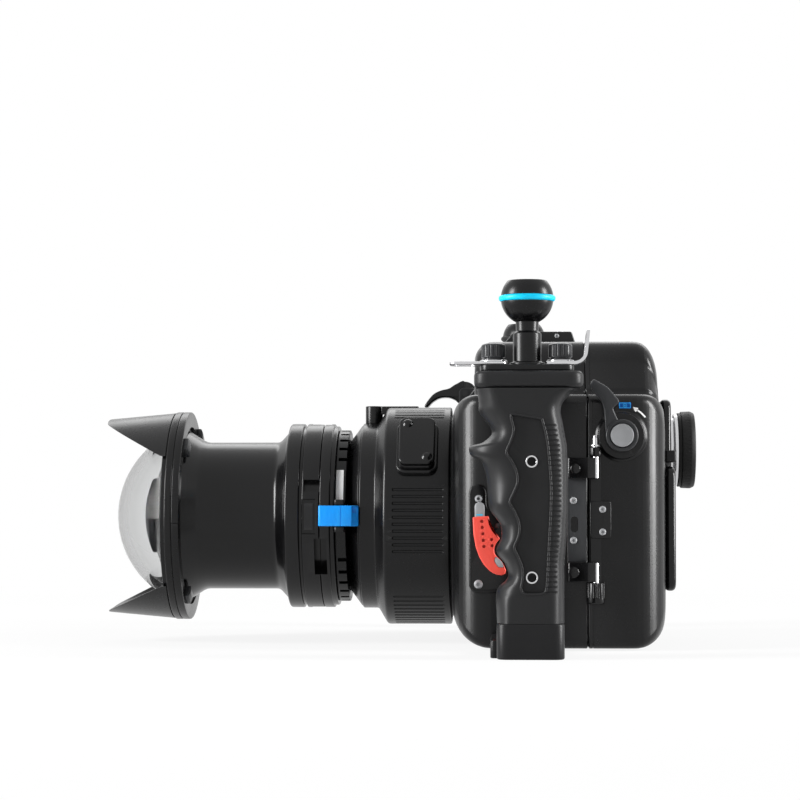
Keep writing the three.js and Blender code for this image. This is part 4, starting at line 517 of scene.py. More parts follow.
def eased(x, low, high, low_radius, high_radius):
    """How far a rounded side draws in at x, between two ends with their own radii."""
    if x < low + low_radius:
        return low_radius - math.sqrt(max(0, low_radius ** 2 - (low + low_radius - x) ** 2))
    if x > high - high_radius:
        return high_radius - math.sqrt(max(0, high_radius ** 2 - (x - high + high_radius) ** 2))
    return 0.0


def quarter(centre, radius, start):
    """Points of a quarter circle from an angle in degrees, clockwise if the radius is negative."""
    way = 90 if radius >= 0 else -90
    turns = [math.radians(start + way * k / ARC) for k in range(ARC + 1)]
    return [(centre[0] + abs(radius) * math.cos(turn), centre[1] + abs(radius) * math.sin(turn))
            for turn in turns]


def section(x, inset, hump_rise, hump_draw):
    """Cross section (y, z) of the body at x, drawn in by an inset, with a hump of some height on top."""
    low, high = FRONT + inset, REAR - inset
    soft = [max(r - inset, r / 2) for r in (FOOT_FRONT_RADIUS, FOOT_REAR_RADIUS, TOP_FRONT_RADIUS,
                                            TOP_REAR_RADIUS)]
    floor = BOTTOM + inset + eased(x, low, high, soft[0], soft[1])
    roof = TOP - inset - eased(x, low, high, soft[2], soft[3])
    plan = eased(x, low, high, max(PLAN_FRONT_RADIUS - inset, 5), max(PLAN_REAR_RADIUS - inset, 10))
    wide = HALF_WIDTH - inset - plan
    growth = min(1, plan / PLAN_FRONT_RADIUS)
    keel = KEEL + (END_CORNER - KEEL) * growth
    shoulder = SHOULDER + (END_CORNER - SHOULDER) * growth
    half = [(0, floor)]
    half += quarter((wide - keel, floor + keel), keel, -90)
    half += quarter((wide - shoulder, roof - shoulder), shoulder, 0)
    half += hump_line(roof, inset, hump_rise, hump_draw)
    return half + [(-y, z) for y, z in reversed(half[1:-1])]


def hump_line(roof, inset, rise, draw):
    """Right half of the hump's outline, from the shoulder to the middle."""
    foot, crown = HUMP_FOOT - inset - draw, HUMP_CROWN - inset - draw
    lean = (foot - crown) / (HUMP_TOP - TOP)
    size = min(1, rise / (HUMP_FILLET + HUMP_SIDE_RADIUS + 1))
    fillet, side = HUMP_FILLET * size, HUMP_SIDE_RADIUS * size
    top = foot - lean * rise
    flat = foot + HUMP_FILLET
    line = []
    for y, z in quarter((flat, roof + fillet), -fillet, -90):
        line.append((flat - (flat - y) * (HUMP_FILLET / fillet if fillet else 0), z))
    if not fillet:
        line = [(flat - HUMP_FILLET * k / ARC, roof) for k in range(ARC + 1)]
    if side:
        line += quarter((top - side, roof + rise - side), side, 0)
    else:
        line += [(top - HUMP_SIDE_RADIUS * k / ARC, roof) for k in range(ARC + 1)]
    return line + [(0, roof + rise)]


def hump_places(inset):
    """Pairs of x and hump height where the hump's front and rear faces turn."""
    front, rear = HUMP_FRONT + inset, HUMP_REAR - inset
    full = HUMP_TOP - TOP
    places = []
    for k in range(FILLET_STEPS + 1):
        c = math.cos(math.radians(90 * k / FILLET_STEPS))
        places.append((front - HUMP_FILLET * c * FILLET_SHARE, HUMP_FILLET * (1 - c)))
    turns = [math.radians(90 * k / ARC) for k in range(ARC + 1)]
    places += [(front + HUMP_FRONT_RADIUS * (1 - math.cos(t)), full - HUMP_FRONT_RADIUS * (1 - math.sin(t)))
               for t in turns]
    places += [(rear - HUMP_REAR_RADIUS * (1 - math.sin(t)), full - HUMP_REAR_RADIUS * (1 - math.cos(t)))
               for t in turns]
    return places + [(rear + 0.01, 0.0)]


def hump_at(x, inset):
    """Height of the hump above the roof at x, and how far its sides draw in."""
    places = hump_places(inset)
    if x <= places[0][0] or x >= places[-1][0]:
        return 0.0, 0.0
    for (x0, z0), (x1, z1) in zip(places, places[1:]):
        if x0 <= x <= x1:
            share = (x - x0) / max(x1 - x0, 1e-6)
            draw = eased(x, HUMP_FRONT + inset, HUMP_REAR - inset, HUMP_PLAN_RADIUS, HUMP_PLAN_RADIUS)
            return z0 + (z1 - z0) * share, min(draw, HUMP_PLAN_RADIUS)
    return 0.0, 0.0


def ring_at(x, inset):
    """Points all round the body at x, its hump included."""
    return [(x, y, z) for y, z in section(x, inset, *hump_at(x, inset))]


def loft(name, rings):
    """Closed solid through rings of points with flat ends."""
    count = len(rings[0])
    points = [p for ring in rings for p in ring]
    faces = [list(range(count)), list(range(len(points) - 1, len(points) - count - 1, -1))]
    for r in range(len(rings) - 1):
        for k in range(count):
            after = (k + 1) % count
            faces.append([r * count + k, (r + 1) * count + k, (r + 1) * count + after, r * count + after])
    return mesh_object(name, points, faces)


def body_solid(name, start, end, inset=0.0, edge=0.0):
    """The body between two places along X; edge breaks the sharp rim at its ends inside the body."""
    stops = {start, end}
    low, high = FRONT + inset, REAR - inset
    for k in range(ARC + 1):
        bend = 1 - math.cos(math.radians(90 * k / ARC))
        stops |= {low + PLAN_FRONT_RADIUS * bend, low + FOOT_FRONT_RADIUS * bend,
                  high - PLAN_REAR_RADIUS * bend}
        stops |= {high - TOP_REAR_RADIUS * bend, low + TOP_FRONT_RADIUS * bend}
    stops |= {x for x, z in hump_places(inset)}
    inside = sorted(x for x in stops if start <= x <= end)
    kept = [x for i, x in enumerate(inside) if i == 0 or x - inside[i - 1] > 0.004]
    rings = [ring_at(x, inset) for x in kept]
    if edge:
        centre = (TOP + BOTTOM) / 2
        wide, tall = 1 - edge / HALF_WIDTH, 1 - edge / centre
        for i, place in ((0, start), (-1, end)):
            whole = ring_at(place, inset)
            rings[i] = [(x, y * wide, centre + (z - centre) * tall) for x, y, z in whole]
        if end < high:
            rings.insert(-1, ring_at(end - edge, inset))
        if start > low:
            rings.insert(1, ring_at(start + edge, inset))
    return loft(name, rings)


def finish_shell(obj, body, node):
    """Dresses a shell, with shading that keeps its large flat faces flat."""
    shade(obj, BLACK, 36)
    even = obj.modifiers.new("even", "WEIGHTED_NORMAL")
    even.weight = 60
    even.keep_sharp = True
    settle(obj)
    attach(obj, body)
    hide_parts(node)


def lock_outline():
    """Outline of the lock plate: a round neck in front that widens downwards to the rear."""
    low, high = span("lock_plate")
    neck = low[0] + 9.0
    return rounded([(low[0], low[2], 4.4), (high[0], low[2], 4.4), (high[0], AXIS - 17.6, 8),
                    (neck, AXIS + 4.4, 4.4), (neck, high[2], 4.4), (low[0], high[2], 4.4)], 8)


def make_front_shell():
    front = body_solid("front_casing", FRONT, SEAM_FRONT, edge=SEAM_EDGE)
    join(front, prism("lock_pad", lock_outline(), WALL_Y, WALL_Y + 5, "Y"))
    port = rod("port_hole", "X", FRONT - 4, FRONT + WALL + 4, PORT_BORE, (0, AXIS), 96)
    cut(front, body_solid("front_room", FRONT + WALL, SEAM_FRONT + 4, WALL), port)
    inside, outside = HALF_WIDTH - 9, HALF_WIDTH + 4
    latch = (span("door_latch")[0][0] + LATCH_HUB, middle("door_latch")[1])
    holes = [prism("pocket", face_of("foot_plate", "XY", -SEAT_GAP, 6), -3, span("foot_plate")[1][2], "Z"),
             rod("valve_hole", "Y", inside, outside, 4.9, middle("vacuum_valve")),
             rod("latch_hole", "Y", inside, outside, 3.3, latch)]
    holes += [rod("dial_hole", "Z", TOP - 9, TOP + 4, 2.5, middle(dial, "XY"))
              for dial in ("mode_dial", "exposure_dial")]
    cut(front, *holes)
    finish_shell(front, "housing", "front_shell")


def make_rear_shell():
    rear = body_solid("rear_casing", SEAM_REAR, REAR, edge=SEAM_EDGE)
    step = body_solid("step", SEAM_REAR + 2.1, SEAM_REAR + 2.5, -2)
    cut(rear, cut(step, body_solid("step_core", SEAM_REAR, SEAM_REAR + 4, 0.35)))
    cut(rear, body_solid("rear_room", SEAM_REAR - 4, REAR - WALL, WALL))
    hub = middle("play_button")
    join(rear, turned("boss", [(WALL_Y + 4, 0), (WALL_Y + 4, 13.4), (WALL_Y, 13.4, 1.5),
                               (WALL_Y - 1.2, 11.6, 1.2), (WALL_Y - 3, 11.6, 0.6), (WALL_Y - 3, 0)],
                      "Y", hub, 72))
    inside, outside = REAR - 9, REAR + 4
    holes = [rod("play_hole", "Y", WALL_Y - 6, WALL_Y + 9, 2.8, hub),
             prism("opening", face_of("display_window", "YZ", 4.0, 3), inside, outside, "X"),
             prism("pane_seat", face_of("display_window", "YZ", -SEAT_GAP, 3),
                   span("display_window")[0][0] - SEAT_GAP, outside, "X"),
             rod("eyepiece_hole", "X", REAR - 10, REAR + 6, 16.4, (0, middle("eyepiece_neck", "YZ")[1]), 72)]
    holes += [rod("shaft_hole", "X", inside, outside, 1.9, middle(knob, "YZ"), 24)
              for knob in ("menu_button", "display_button", "trash_button", "function_button", "ok_button",
                           "thumb_dial")]
    cut(rear, *holes)
    finish_shell(rear, "door", "rear_shell")


make_front_shell()
make_rear_shell()

# Port: barrel with finger grooves, knob cover, lock stud, bayonet ring with its label, and release

PORT_FRONT, PORT_REAR = span("port_barrel")[0][0], span("port_ring")[0][0] + 1.6
PORT_END, PORT_RADIUS = span("port_barrel")[1][:2]
LIP_FRONT, LIP_REAR, BARREL_FRONT = PORT_FRONT + 7.6, PORT_FRONT + 16, PORT_FRONT + 21.1
LIP_RADIUS = PORT_RADIUS - 8.6
GROOVES_IN_GROUP, GROOVE_GROUPS, GROOVE_PITCH, GROOVE_TURN = 10, 6, 3.55, 2.48
COVER_ANGLE, COVER_REACH, COVER_HALF = 37.5, 24, 15.2


def around(obj, degrees):
    """Turns a piece made at the left of the lens axis up round it."""
    return turn_about(obj, "X", math.radians(-degrees), (0, 0, AXIS))


def arc_block(name, x0, x1, inner, outer, start, end, steps=12):
    """Block between two radii and two angles about the lens axis, which count up from the near side."""
    edge = [(-r * math.cos(math.radians(a)), AXIS + r * math.sin(math.radians(a)))
            for r, ends in ((inner, (start, end)), (outer, (end, start)))
            for a in (ends[0] + (ends[1] - ends[0]) * k / steps for k in range(steps + 1))]
    return prism(name, edge, x0, x1, "X")


def capsule(name, x0, x1, y, z, radius, steps=16):
    return turned(name, [(x0, 0), (x0, radius, radius * 0.99), (x1, radius, radius * 0.99), (x1, 0)],
                  "X", (y, z), steps, 5)


def make_port():
    barrel = on_axis("port_casing", [
        (PORT_FRONT, 33), (PORT_FRONT, 39, 0.6), (PORT_FRONT + 7, 48.5, 0.5), (LIP_FRONT, 48.5),
        (LIP_FRONT, LIP_RADIUS, 0.9), (LIP_REAR, LIP_RADIUS, 1.6), (BARREL_FRONT, PORT_RADIUS, 2.2),
        (PORT_REAR, PORT_RADIUS, 0.9), (PORT_REAR, PORT_RADIUS - 1.6), (PORT_REAR - 1.4, PORT_RADIUS - 1.6),
        (PORT_REAR - 1.4, 46.7), (PORT_END, 46.7, 0.6), (PORT_END, 42), (PORT_FRONT + 8, 42),
        (PORT_FRONT + 8, 36.4), (PORT_FRONT + 1.8, 36.4), (PORT_FRONT + 1.8, 33)], 192, 5)
    grooves = []
    for group in range(GROOVE_GROUPS):
        for k in range(GROOVES_IN_GROUP):
            step = (k - (GROOVES_IN_GROUP - 1) / 2) * GROOVE_PITCH
            angle = -group * 360 / GROOVE_GROUPS - step - GROOVE_TURN
            if abs((angle - COVER_ANGLE + 180) % 360 - 180) >= COVER_REACH:
                one = capsule("groove", BARREL_FRONT + 4.2, PORT_REAR - 3.2, -PORT_RADIUS - 0.25, AXIS, 0.85)
                grooves.append(around(one, angle))
    cut(barrel, gather("grooves", grooves))
    dress(barrel, BLACK, "port", ["port_barrel"], 30)


def make_knob_cover():
    low, high = span("focus_cover")
    x0, x1, wall = low[0], high[0], -PORT_RADIUS
    low_z, high_z = AXIS - COVER_HALF, AXIS + COVER_HALF
    foot = prism("cover_foot", rectangle(x0 - 1.6, low_z - 1.6, x1 + 1.6, high_z + 1.6, 5.2),
                 wall - 1.2, wall + 8, "Y", 0.9, 3)
    edge = rectangle(x0, low_z, x1, high_z, 3.6)
    boss = prism("cover_boss", edge, wall - 3.9, wall + 6, "Y", 0.4, 2)
    plate = prism("knob_cover", edge, wall - 6.9, wall - 4.0, "Y", 0.9, 3)
    around(plate, COVER_ANGLE)
    dress(plate, SATIN, "port", ["focus_cover"])
    join(foot, boss)
    around(foot, COVER_ANGLE)
    dress(foot, BLACK, "port")
    heads = [turned("head", [(wall - 8.3, 0), (wall - 8.0, 1.6, 1.5), (wall - 6.9, 2.9, 0.5),
                             (wall - 6.6, 2.9), (wall - 6.6, 0)], "Y", centre, 40, 6)
             for centre in ((x0 + 4.4, high_z - 4.2), (x1 - 4.0, low_z + 4.2))]
    around(dress(gather("cover_screws", heads), SATIN, "port"), COVER_ANGLE)


def make_stud():
    low, high = span("port_stud")
    top, radius = high[2], 4.65
    x = low[0] + radius
    stud = turned("lock_stud", [(AXIS + 48, 0), (AXIS + 48, 4.4), (AXIS + 49.6, 4.4),
                                (AXIS + 49.6, radius, 0.3), (top, radius, 0.5), (top, 0)], "Z", (x, 0), 64)
    join(stud, prism("strip", rectangle(x + 3.4, -3.6, x + 24, 3.6, 1.4), AXIS + 54.6, top - 0.1, "Z", 0.3))
    cut(stud, prism("slot", rectangle(x + 16, -1.5, x + 26, 1.5, 0.6), top - 1.4, top + 2, "Z"))
    dress(stud, BLACK, "port", ["port_stud"])
    screw_head = rod("strip_screw", "Z", top - 2.5, top - 0.7, 1.1, (x + 20, 0), 24, last=0.3)
    dress(screw_head, STEEL, "port")


TEETH, RING_RADIUS = 36, 46.3
LABEL_ANGLE, LABEL_ROOM, RELEASE_ROOM = 20.8, 14, 24


def make_bayonet_ring():
    low, high = span("adaptor_ring")
    x0, x1 = low[0], high[0]
    rim_radius = RING_RADIUS - 0.2
    ring = on_axis("bayonet_ring", [(x0, 34.2), (x0, rim_radius, 0.4), (x1, rim_radius, 0.4), (x1, 40.6),
                                    (x0 + 4.6, 40.6), (x0 + 4.6, 34.2)], 180, 3)
    notches = []
    for k in range(TEETH):
        angle = k * 360 / TEETH
        if LABEL_ANGLE + LABEL_ROOM <= angle <= 360 - RELEASE_ROOM:
            notch = block("notch", x0 + 1.2, x1 + 1, -RING_RADIUS - 1, -RING_RADIUS + 2.5, AXIS - 1.15,
                          AXIS + 1.15)
            notches.append(around(notch, angle))
    cut(ring, gather("notches", notches))
    cheek = rounded([(x0, -43.5, 0), (x1, -43.5, 0), (x1, -52.6, 1.2), (x0 + 0.9, -53.6, 1.6),
                     (x0, -52.6, 0.8)])
    join(ring, *[prism("cheek", cheek, z - 1.35, z + 1.35, "Z", 0.3) for z in (AXIS - 7.1, AXIS + 7.1)])
    dress(ring, BLACK, "port", ["adaptor_ring"], 30)


def make_label():
    """Bare white sticker on the bayonet ring, bent round it."""
    x0 = span("adaptor_ring")[0][0]
    radius, reach, rows = RING_RADIUS + 0.05, 8.4, 14
    points, faces = [], []
    for k in range(rows + 1):
        angle = math.radians(LABEL_ANGLE) - reach / radius + 2 * reach / radius * k / rows
        for x, r in ((x0 + 0.5, radius), (x0 + 4.3, radius), (x0 + 4.3, radius - 0.3),
                     (x0 + 0.5, radius - 0.3)):
            points.append((x, -r * math.cos(angle), AXIS + r * math.sin(angle)))
    for k in range(rows):
        for s in range(4):
            after = (s + 1) % 4
            faces.append([4 * k + s, 4 * k + after, 4 * k + 4 + after, 4 * k + 4 + s])
    faces += [[0, 1, 2, 3], [4 * rows + s for s in (3, 2, 1, 0)]]
    dress(mesh_object("bare_label", points, faces), WHITE, "port")


def make_release():
    low, high = span("release_lever")
    x0, x1 = low[0], high[0]
    near, far = low[1], high[1]
    shape = rounded([(x0, near + 0.4, 1.0), (x0 + 9.0, near, 0), (x1 - 3.6, near, 0.8), (x1, near + 2.1, 0.5),
                     (x1, far, 0.4), (x0 + 12, far, 0), (x0, far, 0.6)], 6)
    lever = prism("release_latch", shape, low[2], high[2], "Z", 0.55, 3)
    notch = block("notch", x1 - 3.0, x1 + 1, near - 1, near + 2.0, high[2] - 4.0, high[2] - 1.0)
    line = block("line", x0 + 11.4, x0 + 11.8, near - 1, near + 0.2, low[2] - 1, high[2] + 1)
    cut(lever, notch, line)
    dress(lever, BLUE, "release", ["release_lever"])


# Wet lens: body, bayonet, hood, dome and front lens

LENS_FRONT = span("lens_body")[0][0]
LENS_REAR, FLANGE_RADIUS = span("lens_body")[1][:2]
WAIST_RADIUS = FLANGE_RADIUS - 10
THIRDS = (0, 120, 240)
HOOD_FRONT = span("lens_shade")[0][0]
HOOD_REAR, HOOD_RADIUS = span("lens_shade")[1][:2]
PETAL_TURN, TAB_ANGLES = 3.8, (47, -59, 119, 227)
DOME_FRONT, DOME_BASE = (corner[0] for corner in span("dome_glass"))
DOME_RADIUS, DOME_GLASS, NOSE_SHARE = 49.7, 4.4, 0.62


def make_lens_body():
    r, rear, spigot = FLANGE_RADIUS, LENS_REAR, LENS_FRONT + 9
    body = on_axis("lens_casing", [
        (LENS_FRONT, 16), (LENS_FRONT, 20.9, 1.6), (spigot - 1.6, 40.0, 1.2), (spigot, 41.4),
        (spigot, 47.4, 0.5), (spigot + 7.3, 47.4, 0.4), (spigot + 7.3, 45.6), (spigot + 8.4, 45.2, 0.4),
        (spigot + 17.5, WAIST_RADIUS, 7), (rear - 24.3, WAIST_RADIUS, 4), (rear - 18.9, r - 4.2, 2.8),
        (rear - 18.2, r, 1.4), (rear - 10.8, r, 0.7), (rear - 10.6, r - 1.7, 0.2), (rear - 9.2, r - 1.7, 0.2),
        (rear - 9.1, r, 0.7), (rear, r, 0.5), (rear, 31), (rear - 21.7, 31), (rear - 21.7, 27),
        (LENS_FRONT + 6, 27), (LENS_FRONT + 3, 16)], 192, 6)
    cuts = []
    for turn in THIRDS:
        cuts.append(arc_block("slot", rear - 8.1, rear + 1, r - 4.0, r + 2, turn + 14.9, turn + 22.4))
        cuts.append(arc_block("scallop", rear - 2.7, rear + 1, r - 7, r + 2, turn - 38.5, turn - 14.0))
        cuts.append(arc_block("key_seat", rear - 8.9, rear - 1.9, r - 1.2, r + 2, turn - 11.2, turn + 10.2))
    for turn in (88, 272):
        cuts.append(arc_block("recess", rear - 7.1, rear + 2.5, r - 2.2, r + 2, turn - 6, turn + 6))
    cut(body, *cuts)
    join(body, *[arc_block("key", rear - 7.7, rear - 3.1, r - 2, r - 0.1, turn - 8.6, turn + 7.6)
                 for turn in THIRDS])
    dress(body, SATIN, "wet_lens", ["lens_body"], 30)


def make_lens_bayonet():
    low, high = span("lens_bayonet")
    x0, x1 = low[0], high[0]
    ring = on_axis("lens_bayonet_ring", [(x0, 34.2), (x0, 49.4, 0.5), (x0 + 5.2, 49.4, 0.6),
                                         (x0 + 5.4, 48.2, 0.2), (x1, 48.2, 0.6), (x1, 34.2)], 180, 3)
    cut(ring, *[arc_block("hollow", x0 - 1, x0 + 3.6, 42.5, 52, turn - 38.5, turn - 14.0) for turn in THIRDS])
    dress(ring, SATIN, "wet_lens", ["lens_bayonet"], 30)


def make_hood():
    x_lip, x_front, x_rear, r = HOOD_REAR - 10.2, HOOD_REAR - 7.8, HOOD_REAR, HOOD_RADIUS
    hood = on_axis("shade_ring", [
        (x_lip, 50.9), (x_lip, r - 2, 0.5), (x_front, r - 2), (x_front, r, 0.7), (x_rear - 4.2, r, 0.4),
        (x_rear - 4.2, r - 0.8), (x_rear - 3.8, r - 0.8), (x_rear - 3.8, r, 0.4), (x_rear, r, 0.6),
        (x_rear, 47.9), (x_front, 47.9), (x_front, 50.9)], 192, 4)
    cut(hood, block("split", x_rear - 3.6, x_rear + 1, -r - 1, -r + 6, AXIS - 4.1, AXIS - 3.7))
    petals = []
    for up in (1, -1):
        foot, tip, beyond = AXIS + up * 34.3, AXIS + up * 50.2, AXIS + up * 60
        blade = on_axis("petal", [(HOOD_FRONT, 49.9), (HOOD_FRONT, 52.2, 0.6), (x_lip + 2, r - 0.5),
                                  (x_lip + 2, r - 2.9)], 240, 3)
        stencil = rounded([(x_lip + 1.8, foot, 0), (HOOD_FRONT + 33.2, foot, 3), (HOOD_FRONT + 0.2, tip, 3),
                           (HOOD_FRONT + 0.2, beyond, 0), (x_lip + 1.8, beyond, 0)], 10)
        keep(blade, prism("stencil", stencil, -60, 60, "Y"))
        petals.append(around(blade, -PETAL_TURN))
    join(hood, *petals)
    dress(hood, BLACK, "wet_lens", ["lens_shade"], 30)
    side = rounded([(x_rear - 0.3, -52.2, 0.6), (x_rear + 2.2, -52.2, 0.9), (x_rear + 3.2, -49.6, 0.6),
                    (x_rear + 3.2, -46.0, 0.4), (x_rear - 0.3, -46.0, 0)])
    tabs = [around(prism("tab", side, AXIS - 4.4, AXIS + 4.4, "Z", 0.5, 3), angle) for angle in TAB_ANGLES]
    dress(gather("shade_clamps", tabs), DARK_GREY, "wet_lens")


def make_dome():
    centre = DOME_FRONT + DOME_RADIUS
    profile = []
    for radius, way in ((DOME_RADIUS, 1), (DOME_RADIUS - DOME_GLASS, -1)):
        limit = math.acos((centre - DOME_BASE) / radius)
        profile += [(centre - radius * math.cos(limit * k / 40), radius * math.sin(limit * k / 40))
                    for k in range(41)][::way]
    dress(on_axis("dome", profile, 192), CLEAR, "wet_lens", ["dome_glass"], 60)


def make_front_lens():
    low, high = span("front_element")
    apex, edge, radius = low[0], high[0], high[1]
    rise = (edge - apex) * NOSE_SHARE
    ball = (radius ** 2 + rise ** 2) / (2 * rise)
    limit = math.asin(radius / ball)
    profile = [(apex + ball - ball * math.cos(limit * k / 24), ball * math.sin(limit * k / 24))
               for k in range(25)]
    lens = on_axis("front_lens", profile + [(edge, radius), (edge, 0)], 128)
    dress(lens, LENS, "wet_lens", ["front_element"], 50)


make_port()
make_knob_cover()
make_stud()
make_bayonet_ring()
make_label()
make_release()
make_lens_body()
make_lens_bayonet()
make_hood()
make_dome()
make_front_lens()

# Handles: grip, arms and ball, made on the left and mirrored to the right

HANDLE_X, HANDLE_Y = middle("left_ball")[0] + 0.1, middle("left_ball", "XY")[1]
GRIP_LOW, GRIP_HIGH = (corner[2] for corner in span("left_grip"))
GRIP_OUTER = HANDLE_Y - span("left_grip")[0][1]
GRIP_FACE = GRIP_OUTER - 0.5
FACE_Y = HANDLE_Y - GRIP_FACE
GRIP_HALF_DEPTH, GRIP_LAYERS, PANEL_DEPTH = 19.5, 150, 2.2
TOOTH_FOOT, TOOTH_PITCH, TOOTH_COUNT = GRIP_LOW + 14.95, 2.4, 34

# Places of the grip's two screws in X and Z, from the handle's middle and the grip's foot
GRIP_SCREWS = [(1.9, 76.85), (1.9, 21.75)]
BALL_RADIUS, BALL_FLAT = 12.7, 8.6

# Height share, reach forward and reach back of the grip, both as shares of its half depth
GRIP_SHARES = [
    (0, 0.76, 0.9), (0.131, 0.77, 0.9), (0.177, 0.55, 0.9), (0.206, 0.48, 0.9), (0.254, 0.57, 0.9),
    (0.304, 0.77, 0.93), (0.362, 0.65, 0.96), (0.411, 0.66, 0.97), (0.437, 0.74, 0.98), (0.483, 0.93, 1),
    (0.541, 0.98, 1), (0.598, 1, 1), (0.645, 1.05, 1), (0.691, 1.15, 0.99), (0.716, 1.4, 0.98),
    (0.754, 1.42, 0.97), (0.768, 1.14, 0.96), (0.804, 0.89, 0.92), (0.836, 0.92, 0.89), (0.864, 1.04, 0.86),
    (0.903, 1.19, 0.82), (0.938, 1.2, 0.86), (0.975, 1.22, 1.04), (1, 1.25, 1.27),
]

# Height share and place of the grip's ridge; place and height share round its sunk panel
RIDGE_SHARES = [
    (0, -0.42), (0.1, -0.36), (0.134, -0.22), (0.19, -0.14), (0.235, -0.16), (0.275, -0.24), (0.321, -0.35),
    (0.36, -0.26), (0.40, -0.22), (0.44, -0.26), (0.48, -0.36), (0.514, -0.46), (0.56, -0.34), (0.60, -0.27),
    (0.645, -0.30), (0.69, -0.43), (0.725, -0.54), (0.76, -0.45), (0.80, -0.37), (0.85, -0.36),
    (0.885, -0.42), (0.93, -0.62), (1, -0.80),
]
PANEL_SHARES = [
    (-0.40, 0.872), (-0.36, 0.888), (0, 0.879), (0.31, 0.870), (0.37, 0.855), (0.48, 0.772), (0.54, 0.66),
    (0.57, 0.564), (0.55, 0.45), (0.52, 0.356), (0.48, 0.22), (0.45, 0.15), (0.37, 0.128), (0.1, 0.124),
    (-0.10, 0.128), (-0.17, 0.15), (-0.13, 0.19), (-0.14, 0.235), (-0.22, 0.275), (-0.33, 0.321),
    (-0.245, 0.36), (-0.20, 0.40), (-0.24, 0.44), (-0.34, 0.48), (-0.44, 0.514), (-0.33, 0.56), (-0.25, 0.60),
    (-0.28, 0.645), (-0.40, 0.69), (-0.52, 0.725), (-0.42, 0.77), (-0.34, 0.82),
]


def follow(points, steps=8):
    """Smooth function of the first value through a list of points."""
    line = smooth_line(points, steps)

    def at(place):
        for before, after in zip(line, line[1:]):
            if place <= after[0]:
                share = (place - before[0]) / max(after[0] - before[0], 1e-9)
                return [b + (a - b) * share for b, a in zip(before[1:], after[1:])]
        return line[-1][1:]
    return at


def super_arc(reach_x, reach_y, power, start, end, steps):
    """Points of a superellipse between two angles in degrees."""
    points = []
    for k in range(steps + 1):
        angle = math.radians(start + (end - start) * k / steps)
        c, s = math.cos(angle), math.sin(angle)
        points.append((reach_x * math.copysign(abs(c) ** (2 / power), c),
                       reach_y * math.copysign(abs(s) ** (2 / power), s)))
    return points


def grip_height(share):
    return GRIP_LOW + share * (GRIP_HIGH - GRIP_LOW)


def hoop(name, loop, out, radius, sides=10):
    """Closed bead along a loop drawn in X and Z, at a place along Y."""
    points, faces = [], []
    count = len(loop)
    for i, (x, z) in enumerate(loop):
        before, after = Vector(loop[i - 1]), Vector(loop[(i + 1) % count])
        along = (after - before).normalized()
        for k in range(sides):
            angle = TURN * k / sides
            reach = radius * math.cos(angle)
            points.append((x + along.y * reach, out + radius * math.sin(angle), z - along.x * reach))
    for i in range(count):
        for k in range(sides):
            a, b = i * sides, ((i + 1) % count) * sides
            faces.append([a + k, b + k, b + (k + 1) % sides, a + (k + 1) % sides])
    return mesh_object(name, points, faces)


def grip_solid():
    outline, ridge = follow(GRIP_SHARES), follow(RIDGE_SHARES)
    rings = []
    for layer in range(GRIP_LAYERS + 1):
        share = layer / GRIP_LAYERS
        forward, back = outline(share)
        front, rear = -forward * GRIP_HALF_DEPTH, back * GRIP_HALF_DEPTH
        crest = max(ridge(share)[0] * GRIP_HALF_DEPTH, front + 4)
        rear_crest = rear - 8.5
        centre, reach = (front + rear) / 2, (rear - front) / 2
        ring = [(crest - x, y) for x, y in super_arc(crest - front, GRIP_FACE, 2.1, 0, 90, 16)]
        ring += [(rear_crest + x, y) for x, y in super_arc(rear - rear_crest, GRIP_FACE, 2.5, 90, 0, 12)]
        ring += [(centre + x, y) for x, y in super_arc(reach, GRIP_FACE, 3.0, 0, -180, 28)][1:-1]
        rings.append([(HANDLE_X + x, HANDLE_Y - y, grip_height(share)) for x, y in ring])
    return loft("grip_casing", rings)


def grip_teeth():
    """Wedges that cut ribs across the grip's rear outer edge; a hollow keeps them shallow on its face."""
    back = follow([share[::2] for share in GRIP_SHARES])
    teeth = []
    for k in range(TOOTH_COUNT):
        z = TOOTH_FOOT + TOOTH_PITCH * k
        rear = HANDLE_X + back((z - GRIP_LOW) / (GRIP_HIGH - GRIP_LOW))[0] * GRIP_HALF_DEPTH
        wedge = prism("tooth", placed([(-9.6, -0.15), (-9.6, 0.15), (2, 1.15), (2, -1.15)], rear, z),
                      FACE_Y - 4, FACE_Y + 7, "Y")
        core = placed([(-0.9, 8), (-1.4, 3.4), (-4.4, 1.5), (-8.6, 0.75), (-12, 0.6), (-12, 8)], rear, FACE_Y)
        teeth.append(cut(wedge, prism("core", core, z - 2, z + 2, "Z")))
    return teeth


def make_grip():
    grip = grip_solid()
    floor = FACE_Y + PANEL_DEPTH
    panel = smooth_loop([(HANDLE_X + x * GRIP_HALF_DEPTH, grip_height(h)) for x, h in PANEL_SHARES], 5)
    cut(grip, prism("panel", panel, FACE_Y - 4, floor, "Y"))
    join(grip, hoop("bead", panel, FACE_Y + 0.15, 0.65))
    cut(grip, gather("teeth", grip_teeth()))
    places = placed(GRIP_SCREWS, HANDLE_X, GRIP_LOW)
    cut(grip, *[rod("socket", "Y", FACE_Y - 3, FACE_Y + 9, 2.5, place) for place in places])
    rims = [turned("rim", [(floor - 0.5, 2.15, 0.2), (floor - 0.5, 2.95, 0.2), (floor + 0.2, 2.95),
                           (floor + 0.2, 2.45), (FACE_Y + 8.6, 2.45), (FACE_Y + 8.6, 2.15)], "Y", place, 40)
            for place in places]
    inserts = gather("inserts", rims)
    dress_pair(grip, "grip_casing", GRIP, "grip", 42)
    dress_pair(inserts, "grip_inserts", STEEL)


